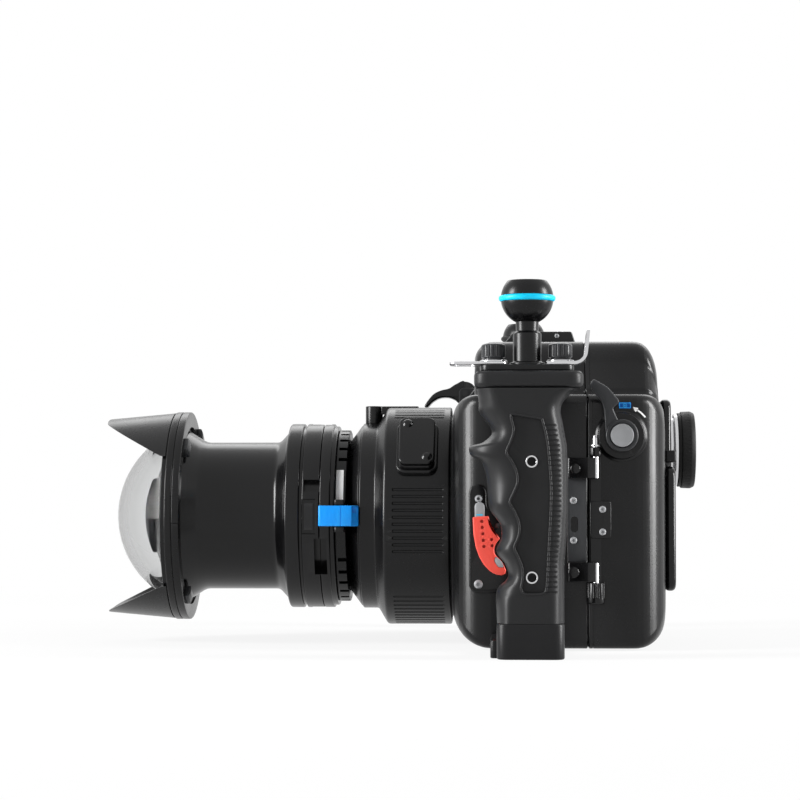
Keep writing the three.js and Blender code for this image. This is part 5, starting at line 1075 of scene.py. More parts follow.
def make_arms():
    low, high = span("left_upper_arm")
    front, rear, outer, inner = low[0], high[0], low[1], high[1]
    waist, shoulder = WALL_Y - 24, HANDLE_Y + 18
    waist_front, waist_rear = HANDLE_X - 16.9, HANDLE_X + 20.1
    shape = rounded([(front, outer, 7), (rear, outer, 7), (rear, shoulder, 7), (waist_rear, waist, 9),
                     (waist_rear, inner, 2), (waist_front, inner, 2), (waist_front, waist, 9),
                     (front, shoulder, 7)], 10)
    arm = prism("left_bracket", shape, low[2], high[2], "Z", 2.4, 5)
    right = mirrored(arm, "right_bracket")
    dress(arm, GRIP, "housing", ["left_upper_arm"], 30)
    dress(right, GRIP, "housing", [], 30)

    low, high = span("left_lower_arm")
    edge = rectangle(HANDLE_X - 14.9, HANDLE_Y - GRIP_OUTER, HANDLE_X + 17.4, HANDLE_Y + GRIP_OUTER, 5.5, 10)
    foot = prism("foot", edge, low[2], high[2], "Z", 0.9, 3)
    edge = rectangle(low[0], HANDLE_Y - 5, HANDLE_X + 10.1, WALL_Y - 0.05, 2)
    join(foot, prism("bar", edge, low[2], low[2] + 8.6, "Z", 0.6, 2))
    dress_pair(foot, "foot", PLASTIC, "lower_arm")


def make_ball():
    low, high = span("left_ball")
    z0, flat = low[2], high[2]
    plate_top, post = z0 + 3.3, (HANDLE_X, HANDLE_Y)
    centre, radius, tube = flat - BALL_FLAT, BALL_RADIUS, BALL_RADIUS - 0.45
    plate = prism("plate", rectangle(low[0], HANDLE_Y - 12, high[0], HANDLE_Y + 12, 5), z0, plate_top,
                  "Z", 0.7, 3)
    start, end = math.radians(-64), math.asin(BALL_FLAT / radius)
    turns = [start + (end - start) * k / 40 for k in range(41)]
    line = [(z0, 0), (z0, 8.6), (plate_top + 1.1, 8.6, 0.5), (plate_top + 1.6, 6.85, 0.6),
            (z0 + 18.6, 6.85, 0.8), (z0 + 19.8, 5.4, 0.4)]
    line += [(centre + radius * math.sin(turn), radius * math.cos(turn)) for turn in turns]
    line += [(flat, 8.3, 0.6), (flat, 6.0, 0.6), (flat - 1.6, 5.4, 0.4), (flat - 1.6, 0)]
    join(plate, turned("post", line, "Z", post, 96))
    cut(plate, turned("groove", [(centre - 1.6, tube - 1.7), (centre - 1.6, radius + 2),
                                 (centre + 1.6, radius + 2), (centre + 1.6, tube - 1.7)], "Z", post, 96))
    dress_pair(plate, "ball_mount", BLACK, "ball", 34)
    ring = [(centre + 1.5 * math.sin(TURN * k / 20), tube + 1.5 * math.cos(TURN * k / 20)) for k in range(20)]
    seal = turned("left_ball_seal", ring, "Z", post, 96)
    twin = mirrored(seal, "right_ball_seal")
    dress(seal, CYAN, "housing", ["left_ball_ring"], 80)
    dress(twin, RUBBER, "housing", ["right_ball_ring"], 80)


make_grip()
make_arms()
make_ball()

# Left wall: hinge, play lever and port lock


def screw(axis, centre, base, height, radius, sides=6):
    """Button head with a socket, standing on a face; a negative height points it the other way."""
    top = base + height
    head = turned("screw", [(base - height * 0.3, 0), (base - height * 0.3, radius),
                            (base + height * 0.4, radius, 0.2), (top, radius * 0.72, radius * 0.2), (top, 0)],
                  axis, centre, 40, 4)
    socket = prism("socket", disc(*centre, radius * 0.44, sides), base + height * 0.35, top + height, axis)
    return cut(head, socket)


HINGE = HINGE_X, HINGE_Y = span("hinge_bracket")[1][0] - 3.0, span("hinge_bracket")[0][1] + 3.0
HINGE_PLATE = 2.5

# Outlines in X and Z with corner radii: the arm from its hub, the lock from its lever's lower front corner
PLAY_ARM = [
    (-14.2, 28.4, 1.2), (-6.9, 24.2, 9), (-0.9, 16.9, 1.4), (-4.5, 13.6, 1.2), (-1.9, 7.5, 0), (-0.5, 2, 0),
    (-8.2, 2, 0), (-8.5, 7.4, 3), (-9.0, 13, 5), (-10.0, 16.8, 5), (-15.5, 23.4, 1.8), (-15.8, 26.2, 1.2),
]
LOCK_COVER = [
    (0.4, 29.3, 0.8), (8.5, 29.8, 0.6), (8.9, 26.3, 9), (10.6, 22.8, 9), (14.1, 18.6, 0.4), (11.9, 15.9, 9),
    (11.0, 13.3, 9), (11.6, 10.3, 9), (14.9, 7.3, 9), (16.6, 3.9, 1.2), (17.1, 2.9, 0.8), (16.8, 1.0, 1.2),
    (14.9, 0.1, 1.2), (12.3, 0.4, 9), (8.9, 2.3, 9), (5.9, 5.6, 9), (3.7, 9.4, 9), (2.0, 14.2, 9),
    (0.9, 20.3, 9),
]
LOCK_HOLES = [(5.0, 27.2), (5.2, 24.2), (5.5, 21.0), (5.8, 17.7), (6.1, 14.6), (9.9, 18.1), (10.1, 15.0)]
LOCK_INLAY = [(11.7, 10.1, 0.6), (14.9, 7.3, 2), (16.4, 4.0, 0.6), (13.2, 4.0, 2), (11.0, 7.3, 2)]


def hinge_bore(low, high):
    return rod("bore", "Z", low - 1, high + 1, 1.7, HINGE, 32)


def make_hinge_frame():
    """The hinge's bracket on the housing, with its cover strip, screws, knobs and lower stub."""
    low, high = span("hinge_bracket")
    x0, x1, top = low[0], low[0] + 10.2, high[2]
    foot, upper = leaf_foot(), top - 10.3
    plate = prism("hinge_frame", rectangle(x0, foot, x1, top, 2, 6), WALL_Y - HINGE_PLATE, WALL_Y,
                  "Y", 0.6, 3)
    side = rounded([(x0 + 0.2, WALL_Y - 1, 0), (x0 + 0.2, HINGE_Y - 1.2, 1.6), (HINGE_X - 4, HINGE_Y - 3, 2),
                    (HINGE_X + 3, HINGE_Y - 3, 2.9), (HINGE_X + 3, HINGE_Y + 3, 2.9), (x1, HINGE_Y + 3, 0.6),
                    (x1, WALL_Y - 1, 0)], 10)
    join(plate, *[prism("arm", side, z0, z1, "Z", 0.5, 3) for z0, z1 in ((foot, foot + 9.8), (upper, top))])
    tools = [hinge_bore(z, z + 9.9) for z in (foot, upper)]
    tools += [block("open_end", HINGE_X - 0.3, HINGE_X + 4, HINGE_Y - 4, HINGE_Y + 1.6, z - 0.5, z + 11)
              for z in (foot, upper)]
    slot = rectangle(x0 + 1.9, foot + 24.9, x0 + 5.6, foot + 32.8, 1.8)
    cut(plate, *tools, prism("slot", slot, WALL_Y - 4, WALL_Y - 1.3, "Y"))
    dress(plate, SATIN, "housing", ["hinge_bracket"])
    stub = rod("hinge_stub", "Z", span("hinge_leaf")[0][2], foot + 9.6, 1.5, HINGE, 40, 0.4, 0.3)
    dress(stub, STEEL, "housing")
    cover = prism("hinge_cover", rectangle(x0 + 0.4, foot + 10.2, x1 - 0.5, top - 10.8, 0.8), WALL_Y - 3.0,
                  WALL_Y - 2.45, "Y", 0.25)
    cut(cover, prism("slot", slot, WALL_Y - 4, WALL_Y - 2, "Y"))
    dress(cover, DARK_GREY, "housing")
    heads = [screw("Y", (x0 + 3.3, z), WALL_Y - 2.95, -0.7, 1.75) for z in (foot + 40.8, foot + 20.8)]
    dress(gather("hinge_screws", heads), BUTTON, "housing")
    knobs = [rod("knob", "Y", HINGE_Y - 2.5, HINGE_Y - 4.2, radius, place, 40, last=0.9)
             for place, radius in (((x0 + 3.1, foot + 4.9), 2.9), ((x0 + 4.1, foot + 56.7), 2.6))]
    dress(gather("hinge_knobs", knobs), SATIN, "housing")


def make_hinge_pin():
    foot, top = (corner[2] for corner in span("hinge_pin"))
    clip = span("hinge_leaf")[1][2] + 0.4
    line = [(foot, 0), (foot, 1.5), (clip, 1.5), (clip, 2.6, 0.2), (clip + 0.8, 2.6, 0.2), (clip + 0.8, 1.5),
            (top - 1.4, 1.5), (top - 1.0, 1.15), (top - 0.7, 1.5, 0.1), (top, 1.3, 0.3), (top, 0)]
    dress(turned("hinge_rod", line, "Z", HINGE, 48), STEEL, "housing", ["hinge_pin"])


def make_hinge_leaf():
    low, high = span("hinge_leaf")
    x0, foot, top = SEAM_FRONT + 1.2, low[2], high[2]
    centre = (leaf_foot() + span("hinge_bracket")[1][2]) / 2
    edge = rectangle(x0, centre - 9.4, x0 + 10.6, centre + 9.4, 1.4, 6)
    leaf = prism("door_leaf", edge, WALL_Y - 2.6, WALL_Y - 0.02, "Y", 0.5, 3)
    rail = prism("rail", rectangle(x0, foot, HINGE_X + 3, top, 0.6), WALL_Y - 1.9, WALL_Y - 0.02, "Y", 0.3)
    knuckles = []
    for z0, z1, radius in ((foot, foot + 10.6, 4.4), (top - 4.8, top, 3.0)):
        knuckles.append(rod("knuckle", "Z", z0, z1, radius, HINGE, 64, 1.0, 0.5))
        web = rectangle(HINGE_X, HINGE_Y, HINGE_X + 2.9, WALL_Y - 0.5)
        knuckles.append(prism("web", web, z0 + 0.3, z1 - 0.3, "Z"))
    join(leaf, rail, *knuckles)
    beside = (HINGE_X, HINGE_Y - 4.62)
    flutes = all_round(lambda: rod("flute", "Z", foot + 3, foot + 12, 0.5, beside, 10, 0.4, 0.4), 16, "Z",
                       (*HINGE, 0))
    cut(leaf, flutes, hinge_bore(foot, top))
    dress(leaf, SATIN, "door", ["hinge_leaf"])
    heads = [screw("Y", (x0 + 6.3, centre + up), WALL_Y - 2.6, -0.7, 1.7) for up in (5.25, -6.15)]
    dress(gather("leaf_screws", heads), BUTTON, "door")
    edge = rectangle(x0 + 6.1, centre - 3.25, x0 + 6.5, centre + 2.35, 0.15)
    dress(prism("leaf_line", edge, WALL_Y - 2.75, WALL_Y - 2.4, "Y"), RUBBER, "door")


def leaf_foot():
    """Height where the hinge's lower arm stands on the leaf's lower knuckle."""
    return span("hinge_leaf")[0][2] + 11.0


def wall_draw(x):
    """How far the left wall draws in at x."""
    return eased(x, FRONT, REAR, PLAN_FRONT_RADIUS, PLAN_REAR_RADIUS)


def lay_on_wall(obj, pitch=0.6):
    """Bends a thin plate that was made flat on the left wall round the wall's rear corner."""
    shape = bmesh.new()
    shape.from_mesh(obj.data)
    start = min(v.co.x for v in shape.verts) / MM
    stop = max(v.co.x for v in shape.verts) / MM
    for k in range(1, round((stop - start) / pitch)):
        bmesh.ops.bisect_plane(shape, geom=shape.verts[:] + shape.edges[:] + shape.faces[:],
                               plane_co=((start + pitch * k) * MM, 0, 0), plane_no=(1, 0, 0))
    for v in shape.verts:
        v.co.y += wall_draw(v.co.x / MM) * MM
    shape.to_mesh(obj.data)
    shape.free()
    return obj


def make_play_lever():
    x, z = middle("play_button")
    foot, top = WALL_Y - 3.4, span("play_lever")[0][1]
    hub = turned("play_arm", [(foot, 0), (foot, 7.4, 0.4), (foot - 1.2, 8.15, 0.5), (top, 8.15, 0.9),
                              (top, 6.1, 0.4), (top + 4.8, 6.1), (top + 4.8, 0)], "Y", (x, z), 96)
    arm = prism("arm", rounded(placed(PLAY_ARM, x, z), 10), top + 1.2, foot - 0.8, "Y", 0.9, 3)
    join(hub, cut(arm, rod("core", "Y", top - 1, foot - 0.4, 7.2, (x, z))))
    join(hub, rod("shaft", "Y", foot - 0.5, WALL_Y + WALL, 2.4, (x, z), 32, last=0.4))
    dress(hub, DARK_GREY, "play_arm", ["play_lever"], 30)
    low, high = span("play_button")
    cap = turned("play_cap_face", [(high[1], 0), (high[1], 5.75, 0.3), (low[1], 5.75, 0.7),
                                   (low[1], 5.1, 0.2), (low[1] + 0.12, 4.9), (low[1] + 0.12, 0)], "Y",
                 (x, z), 96)
    dress(cap, BUTTON, "play_cap", ["play_button"])


def make_play_marks():
    """Small blue plate with a plain play sign, and the white arrow beside it."""
    x, z = middle("play_button")
    x0, x1, z0, z1 = x - 1.2, x + 5.0, z + 13.8, z + 17.0
    plate = lay_on_wall(prism("play_plate", rectangle(x0, z0, x1, z1, 0.4), WALL_Y - 0.22, WALL_Y + 0.3, "Y"))
    dress(plate, INK, "door")
    low, high = WALL_Y - 0.3, WALL_Y - 0.2
    edge = prism("edge", rectangle(x0 + 0.25, z0 + 0.25, x1 - 0.25, z1 - 0.25, 0.3), low, high, "Y")
    cut(edge, prism("inner", rectangle(x0 + 0.55, z0 + 0.55, x1 - 0.55, z1 - 0.55, 0.2), WALL_Y - 1,
                    WALL_Y + 1, "Y"))
    centre = ((x0 + x1) / 2, (z0 + z1) / 2)
    ring = turned("ring", [(low, 0.78), (low, 1.02), (high, 1.02), (high, 0.78)], "Y", centre, 32)
    sign = prism("sign", placed([(-0.3, -0.45), (0.5, 0), (-0.3, 0.45)], *centre), low, high, "Y")
    dress(lay_on_wall(gather("play_sign", [edge, ring, sign])), SKY, "door")
    line = smooth_line(placed([(12.2, 9.5), (10.2, 11.5), (8.0, 13.1)], x, z), 6)
    left, right = [], []
    for i, here in enumerate(line):
        before, after = line[max(i - 1, 0)], line[min(i + 1, len(line) - 1)]
        along = Vector((after[0] - before[0], after[1] - before[1])).normalized()
        left.append((here[0] - along.y * 0.42, here[1] + along.x * 0.42))
        right.append((here[0] + along.y * 0.42, here[1] - along.x * 0.42))
    tip = placed([(8.7, 14.1), (5.8, 14.6), (7.2, 12.0)], x, z)
    arrow = prism("arrow", left + tip + right[::-1], WALL_Y - 0.25, WALL_Y + 0.2, "Y")
    dress(lay_on_wall(arrow), WHITE, "door")


def make_lock_plate():
    low, high = span("lock_plate")
    plate = prism("lock_base", lock_outline(), WALL_Y - 2.6, WALL_Y, "Y", 1.0, 3)
    pad = rounded([(low[0] + 1.6, low[2] + 1.4, 2.6), (high[0] - 3, low[2] + 1.4, 2.6),
                   (high[0] - 6, AXIS - 18, 2), (low[0] + 5.2, AXIS - 18, 1), (low[0] + 1.6, AXIS - 23.6, 1)])
    join(plate, prism("lock_step", pad, WALL_Y - 2.95, WALL_Y - 2, "Y", 0.3, 2),
         rod("lock_disc", "Y", WALL_Y, WALL_Y - 2.9, 6.3, (low[0] + 9.2, AXIS - 3.4), 72, last=0.5))
    dress(plate, BLACK, "housing", ["lock_plate"])
    heads = [screw("Y", (low[0] + 4.8, low[2] + 4.5), WALL_Y - 2.9, -0.9, 2.2),
             screw("Y", (low[0] + 4.9, high[2] - 7.2), WALL_Y - 2.6, -4.2, 1.85)]
    dress(gather("lock_screws", heads), BUTTON, "housing")


def make_port_lock():
    """The lock's lever: a red cover with holes and an inlay on a grey arm, beside a small peg."""
    low, high = span("port_lock_lever")
    x, z = low[0], high[2] - 37.3
    foot, top = WALL_Y - 3.0, WALL_Y - 9.2
    peg = placed([(11.3, 24.0, 0.8), (13.5, 23.7, 0.6), (14.5, 27.1, 0.6), (12.1, 25.9, 0.3)], x, z)
    dress(prism("lock_peg", rounded(peg), WALL_Y - 4, WALL_Y + 0.5, "Y", 0.3), DARK_GREY, "housing")
    arm = placed([(1.5, 28.1, 0), (6.3, 28.1, 0), (6.4, 36.7, 2.2), (1.4, 36.7, 2.2)], x, z)
    arm = prism("lock_lever_arm", rounded(arm, 10), top + 1.4, foot, "Y", 0.6, 3)
    dress(arm, BUTTON, "port_lock", ["port_lock_lever"])
    mark = prism("lock_line", rectangle(x + 2.3, z + 30.1, x + 5.5, z + 30.7, 0.2), top + 1.34, top + 2, "Y")
    dress(mark, CYAN, "port_lock")
    cover = prism("lock_lever_cover", rounded(placed(LOCK_COVER, x, z), 6), top, foot - 0.6, "Y", 0.7, 3)
    bores = [rod("hole", "Y", top - 1, top + 2.2, 0.82, place, 20) for place in placed(LOCK_HOLES, x, z)]
    inlay = placed(LOCK_INLAY, x, z)
    cut(cover, prism("seat", rounded(inlay), top - 1, top + 0.8, "Y"), *bores)
    dress(cover, RED, "port_lock")
    core = Vector((x + 13.4, z + 6.7))
    inlay = rounded([(*Vector(p[:2]).lerp(core, 0.06), p[2]) for p in inlay])
    dress(prism("lock_lever_inlay", inlay, top + 0.1, top + 0.85, "Y", 0.25), BUTTON, "port_lock")


make_hinge_frame()
make_hinge_pin()
make_hinge_leaf()
make_play_lever()
make_play_marks()
make_lock_plate()
make_port_lock()

# Rear: window frame, display window, eyepiece and rear controls


def make_window():
    low, high = span("window_frame")
    pane_low, pane_high = span("display_window")
    eye_z = middle("eyepiece_ring")[1]
    step, notch, face = eye_z - 9.9, low[1] + 35, high[0]
    side = rounded([(low[1], low[2], 6), (high[1], low[2], 6), (high[1], high[2], 6), (notch, high[2], 6),
                    (notch, step, 6), (low[1], step, 6)], 10)
    inner, outer = face_of("display_window", "YZ", 2.6, 3), face_of("display_window", "YZ", 0.4, 4.2)
    edges = ((face - 2.2, inner), (face + 1, outer))
    slope = loft("slope", [[(x, y, z) for y, z in edge] for x, edge in edges])
    surround = prism("screen_frame", side, REAR - 0.02, face, "X", 2.4, 6)
    cut(surround, prism("opening", inner, REAR - 2, face + 2, "X"), slope,
        rod("hole", "X", REAR - 2, face + 2, 16.7, (0, eye_z), 96))
    dress(surround, GLOSS, "door", ["window_frame"], 30)
    edge = face_of("display_window", "YZ", 0, 3)
    pane = prism("screen_pane", edge, pane_low[0], pane_high[0], "X", 0.35, 2)
    dress(pane, CLEAR, "door", ["display_window"])
    spots = [(low[1] + 4, low[2] + 4), (high[1] - 4, low[2] + 4), (high[1] - 4, high[2] - 4),
             (notch + 4, high[2] - 4), (low[1] + 4, step - 4), (high[1] - 4, step - 6)]
    heads = [screw("X", place, face - 0.9, 0.85, 1.9) for place in spots]
    dress(gather("frame_screws", heads), SATIN, "door")
    edge = rectangle(REAR + 0.5, low[1] + 5, REAR + 6.0, low[1] + 17, 1)
    dress(prism("frame_catch", edge, step + 2.2, step + 8.4, "Z", 0.7, 3), PLASTIC, "door")


def make_eyepiece():
    low, high = span("eyepiece_neck")
    z = middle("eyepiece_ring")[1]
    face = span("window_frame")[1][0]
    neck = turned("eye_neck", [
        (low[0], 14), (low[0], 16.2, 0.5), (face + 0.05, 16.2), (face + 0.05, 18.3, 0.3),
        (face + 0.8, 18.3, 0.2), (face + 0.8, 17.6, 0.2), (face + 2.4, 17.6, 0.3), (face + 2.9, 19.3, 0.4),
        (high[0], 19.3, 0.3), (high[0], 16.1), (face + 2.3, 16.1), (face + 2.3, 14)], "X", (0, z), 144)
    dress(neck, STEEL, "door", ["eyepiece_neck"], 30)
    low, high = span("eyepiece_lens")
    pane = turned("eye_lens", [(low[0], 0), (low[0], 15.6, 0.4), (high[0] - 0.8, 15.6, 0.3),
                               (high[0] - 0.2, 9, 6), (high[0], 0)], "X", (0, z), 96)
    dress(pane, COATED, "door", ["eyepiece_lens"], 60)
    x0, x1 = (corner[0] for corner in span("eyepiece_ring"))
    cup = turned("eye_ring", [
        (x0, 15.0), (x0, 19.8, 0.3), (x0 + 1.7, 19.8), (x0 + 1.7, 20.5, 0.5), (x1 - 2.2, 20.7, 1.2),
        (x1, 19.7, 1.1), (x1, 18.0, 0.8), (x0 + 3, 16.2, 1), (x0 + 1.6, 15.0, 0.4)], "X", (0, z), 144, 6)
    cut(cup, all_round(lambda: capsule("knurl", x0 + 3.0, x1 - 2.6, -20.95, z, 0.42, 8), 60, "X", (0, 0, z)))
    dress(cup, RUBBER, "door", ["eyepiece_ring"], 30)


def make_rear_button(node, name, body, radius):
    low, high = span(node)
    face = turned(name, [(low[0], 0), (low[0], 1.6, 0.3), (REAR + 2, 1.6), (REAR + 2, radius, 0.3),
                         (high[0], radius, 0.8), (high[0], 3.4, 0.5), (high[0] - 0.35, 0)], "X",
                  middle(node, "YZ"), 56, 5)
    dress(face, BUTTON, body, [node])


def make_rear_controls():
    for control in ("menu", "display", "trash", "function"):
        node = f"{control}_button"
        make_rear_button(node, f"{node}_face", f"{control}_cap", 4.4)
        collar = turned(f"{node}_collar", [(REAR - 0.1, 4.75), (REAR - 0.1, 5.6), (REAR + 0.9, 5.4, 0.15),
                                           (REAR + 0.9, 4.75)], "X", middle(node, "YZ"), 56)
        dress(collar, DARK_GREY, "door")
    make_rear_button("ok_button", "ok_face", "ok_cap", 4.6)
    low, high = span("control_dial")
    y, z = middle("ok_button", "YZ")
    ring = turned("pad_dial", [(low[0], 5.5), (low[0], 12.2, 0.4), (high[0] - 0.8, 12.2, 0.6),
                               (high[0], 11.0, 0.5), (high[0] - 0.7, 8.4, 1.2), (high[0], 6.2, 0.4),
                               (high[0], 5.5)], "X", (y, z), 96, 5)
    cut(ring, all_round(lambda: capsule("knurl", low[0] + 1.2, high[0] + 1, y - 12.45, z, 0.5, 8), 36, "X",
                        (0, y, z)))
    dress(ring, DARK_GREY, "pad_ring", ["control_dial"], 30)


def make_thumb_dial():
    foot, face = (corner[0] for corner in span("thumb_dial"))
    y, z = middle("thumb_dial", "YZ")
    knob = turned("thumb_wheel", [
        (foot, 0), (foot, 1.6), (REAR + 0.3, 1.6), (REAR + 0.3, 7.6, 0.4), (REAR + 1.6, 8.5, 0.4),
        (face, 8.5, 1.0), (face, 6.4, 0.6), (face - 0.6, 5.6), (face - 0.6, 0)], "X", (y, z), 96, 5)
    cut(knob, all_round(lambda: capsule("notch", REAR + 1.4, face + 2, y - 9.0, z, 0.95, 12), 20, "X",
                        (0, y, z)))
    dress(knob, BLACK, "thumb_knob", ["thumb_dial"], 30)


make_window()
make_eyepiece()
make_rear_controls()
make_thumb_dial()

# Top: lanyard plates, handle screws, accessory plate, dials and the shutter lever

LANYARD_FOOT = span("left_front_lanyard")[0][2]
LANYARD_THICKNESS, LANYARD_SLOT = 1.5, 14.0
SCREW_PLACES = (HANDLE_X - 16.2, HANDLE_X + 15.9)


def make_lanyards():
    foot, top = LANYARD_FOOT, LANYARD_FOOT + LANYARD_THICKNESS
    near, far = HANDLE_Y - LANYARD_SLOT / 2, HANDLE_Y + LANYARD_SLOT / 2
    x = span("left_front_lanyard")[0][0]
    loop = prism("loop", face_of("left_front_lanyard", "XY", 0, 4, 10), foot, top, "Z", 0.5, 4)
    cut(loop, prism("slot", rectangle(x + 1.9, near, x + 12, far, 3), top - 3, top + 2, "Z"))
    low, high = span("left_rear_lanyard")
    bend = high[0] - 1.8
    side = rounded([(low[0], foot, 0.3), (bend, foot, 6.5), (high[0], high[2], 0.5),
                    (high[0] - 1.5, high[2], 0.5), (bend - 1.4, top, 5), (low[0], top, 0.3)], 10)
    hook = prism("hook", side, low[1], high[1], "Y")
    keep(hook, prism("stencil", rectangle(low[1], foot - 9, high[1], high[2], 4, 10), low[0] - 1,
                     high[0] + 1, "X"))
    cut(hook, prism("slot", rectangle(near, top + 4, far, high[2] - 2.2, 3), bend - 6, high[0] + 4, "X"))
    bevel(hook, 0.35, 3, 40)
    dress_pair(loop, "front_loop", STEEL, "front_lanyard", 40)
    dress_pair(hook, "rear_loop", STEEL, "rear_lanyard", 40)


def make_handle_screws():
    """Knurled screws that hold the ball plate and the lanyards, each on a bright washer."""
    foot = LANYARD_FOOT + LANYARD_THICKNESS
    washers, heads, spacers = [], [], []
    for x in SCREW_PLACES:
        centre = (x, HANDLE_Y)
        washers.append(turned("washer", [(foot + 0.05, 1.5), (foot + 0.05, 6.5, 0.3), (foot + 0.95, 6.5, 0.3),
                                         (foot + 0.95, 1.5)], "Z", centre, 48))
        head = turned("head", [(foot + 1.0, 0), (foot + 1.0, 5.0, 0.3), (foot + 2.0, 5.0, 0.2),
                               (foot + 2.2, 5.9, 0.3), (foot + 8.4, 5.9, 1.2), (foot + 9.0, 4.0, 0.6),
                               (foot + 9.0, 0)], "Z", centre, 64)
        beside = (x, HANDLE_Y - 6.0)
        knurls = all_round(lambda: rod("knurl", "Z", foot + 2.6, foot + 10, 0.45, beside, 8, 0.3), 22, "Z",
                           (*centre, 0))
        heads.append(cut(head, knurls, prism("socket", disc(*centre, 2.2, 6), foot + 4.5, foot + 12, "Z")))
        spacers.append(turned("spacer", [(LANYARD_FOOT - 2.9, 1.5), (LANYARD_FOOT - 2.9, 6.6, 0.5),
                                         (LANYARD_FOOT - 0.02, 6.6, 0.5), (LANYARD_FOOT - 0.02, 1.5)], "Z",
                              centre, 48))
    dress_pair(gather("washers", washers), "handle_washers", STEEL, None, 34)
    dress_pair(gather("screws", heads), "handle_screws", DARK_GREY, None, 34)
    dress_pair(gather("spacers", spacers), "handle_spacers", SATIN, None, 34)


def make_accessory_plate():
    low, high = span("accessory_plate")
    side = rounded([(low[0], low[2] + 0.05, 0), (high[0], low[2] + 0.05, 0), (high[0] - 2.1, high[2], 1.6),
                    (low[0] + 5.4, high[2], 1.6)], 8)
    plate = prism("mount_plate", side, low[1], high[1], "Y", 0.9, 3)
    edges = [rectangle(y - 1.6, high[2] - 1.8, y + 1.6, high[2] + 2, 0.5) for y in (low[1] + 6, high[1] - 6)]
    cut(plate, *[prism("rail", edge, low[0] - 1, high[0] + 1, "X") for edge in edges])
    dress(plate, SATIN, "housing", ["accessory_plate"])
    heads = [screw("Z", (x, 0), high[2] - 0.05, 1.1, 2.6) for x in (low[0] + 11, high[0] - 8)]
    dress(gather("mount_screws", heads), STEEL, "housing")
    heads = [screw("Y", (x, high[2] - 2.4), low[1], -0.8, 1.2) for x in (low[0] + 10, high[0] - 10)]
    dress(gather("mount_side_screws", heads), BUTTON, "housing")


def make_top_dial(node, name, body):
    low, high = span(node)
    x, y = middle(node, "XY")
    radius, foot, top = (high[0] - low[0]) / 2, TOP + 0.4, high[2]
    knob = turned(name, [(low[2], 0), (low[2], 2.1), (foot, 2.1), (foot, radius - 1.6, 0.4),
                         (foot + 1.6, radius, 0.4), (top - 1.6, radius, 0.6), (top, radius - 1.8, 0.8),
                         (top, 0)], "Z", (x, y), 96)
    cut(knob, all_round(lambda: rod("notch", "Z", foot + 1.9, top + 2, 0.9, (x, y - radius - 0.25), 12, 0.5),
                        24, "Z", (x, y, 0)))
    dress(knob, BLACK, body, [node], 32)
    mark = block(f"{name}_mark", x - 0.45, x + 0.45, y - radius + 2.4, y - 1.5, top - 0.1, top + 0.15)
    dress(mark, WHITE, body)


SHUTTER_LINE = [(0, 0.96), (0.22, 0.8), (0.4, 0.42), (0.6, 0.25), (0.8, -0.12), (1, -1.03), (0.93, -1.2),
                (0.8, -0.76), (0.62, -0.42), (0.4, -0.38), (0.22, -0.62), (0, -0.96)]
SHUTTER_REACH, SHUTTER_HUB, SHUTTER_HALF = 23.4, 6.8, 5.4


def make_shutter():
    low, high = span("shutter_lever")
    x, z, y = high[0] - SHUTTER_HUB, high[2] - SHUTTER_HUB, (low[1] + high[1]) / 2
    near, far = y - SHUTTER_HALF, y + SHUTTER_HALF
    line = smooth_loop([(x - ahead * SHUTTER_REACH, z + up * SHUTTER_HUB) for ahead, up in SHUTTER_LINE], 6)
    arm = prism("shutter_arm", line, near, far, "Y", 0.9, 4)
    join(arm, rod("hub", "Y", near, far, SHUTTER_HUB, (x, z), 64, 0.8, 0.8))
    cut(arm, rod("bore", "Y", near - 1, far + 1, 2.3, (x, z), 32))
    dress(arm, SATIN, "shutter", ["shutter_lever"], 34)

    bracket = bpy.data.objects["right_bracket"]
    side = rounded(placed([(-3.4, -7.2, 3), (15, -7.2, 0), (15, -1, 0), (10, -1, 2), (5, 3, 3), (-3.4, 3, 3)],
                          x, z))
    cheeks = [prism("cheek", side, start, start + 2.6, "Y", 0.4, 2) for start in (near - 3.0, far + 0.4)]
    support = block("support", x + 7.4, x + 20, near - 2.9, far + 2.9, z - 7.1, z - 1.1, 0.4)
    join(bracket, support, *cheeks, rod("pin", "Y", near - 3.2, far + 3.2, 2.0, (x, z), 40))
    dress(bracket, GRIP, "housing", ["right_upper_arm"], 30)


make_lanyards()
make_handle_screws()
make_accessory_plate()
make_top_dial("mode_dial", "mode_wheel", "mode_knob")
make_top_dial("exposure_dial", "exposure_wheel", "exposure_knob")
make_shutter()

# Right wall and inside: door latch, vacuum valve, foot, boards and the port's glass

# Corner, width and height of the chips on the control board
CHIPS = [(4, 4, 9, 9), (17, 6, 6, 4), (17, 14, 4, 6), (26, 5, 6, 12), (4, 20, 12, 5), (21, 24, 8, 4)]


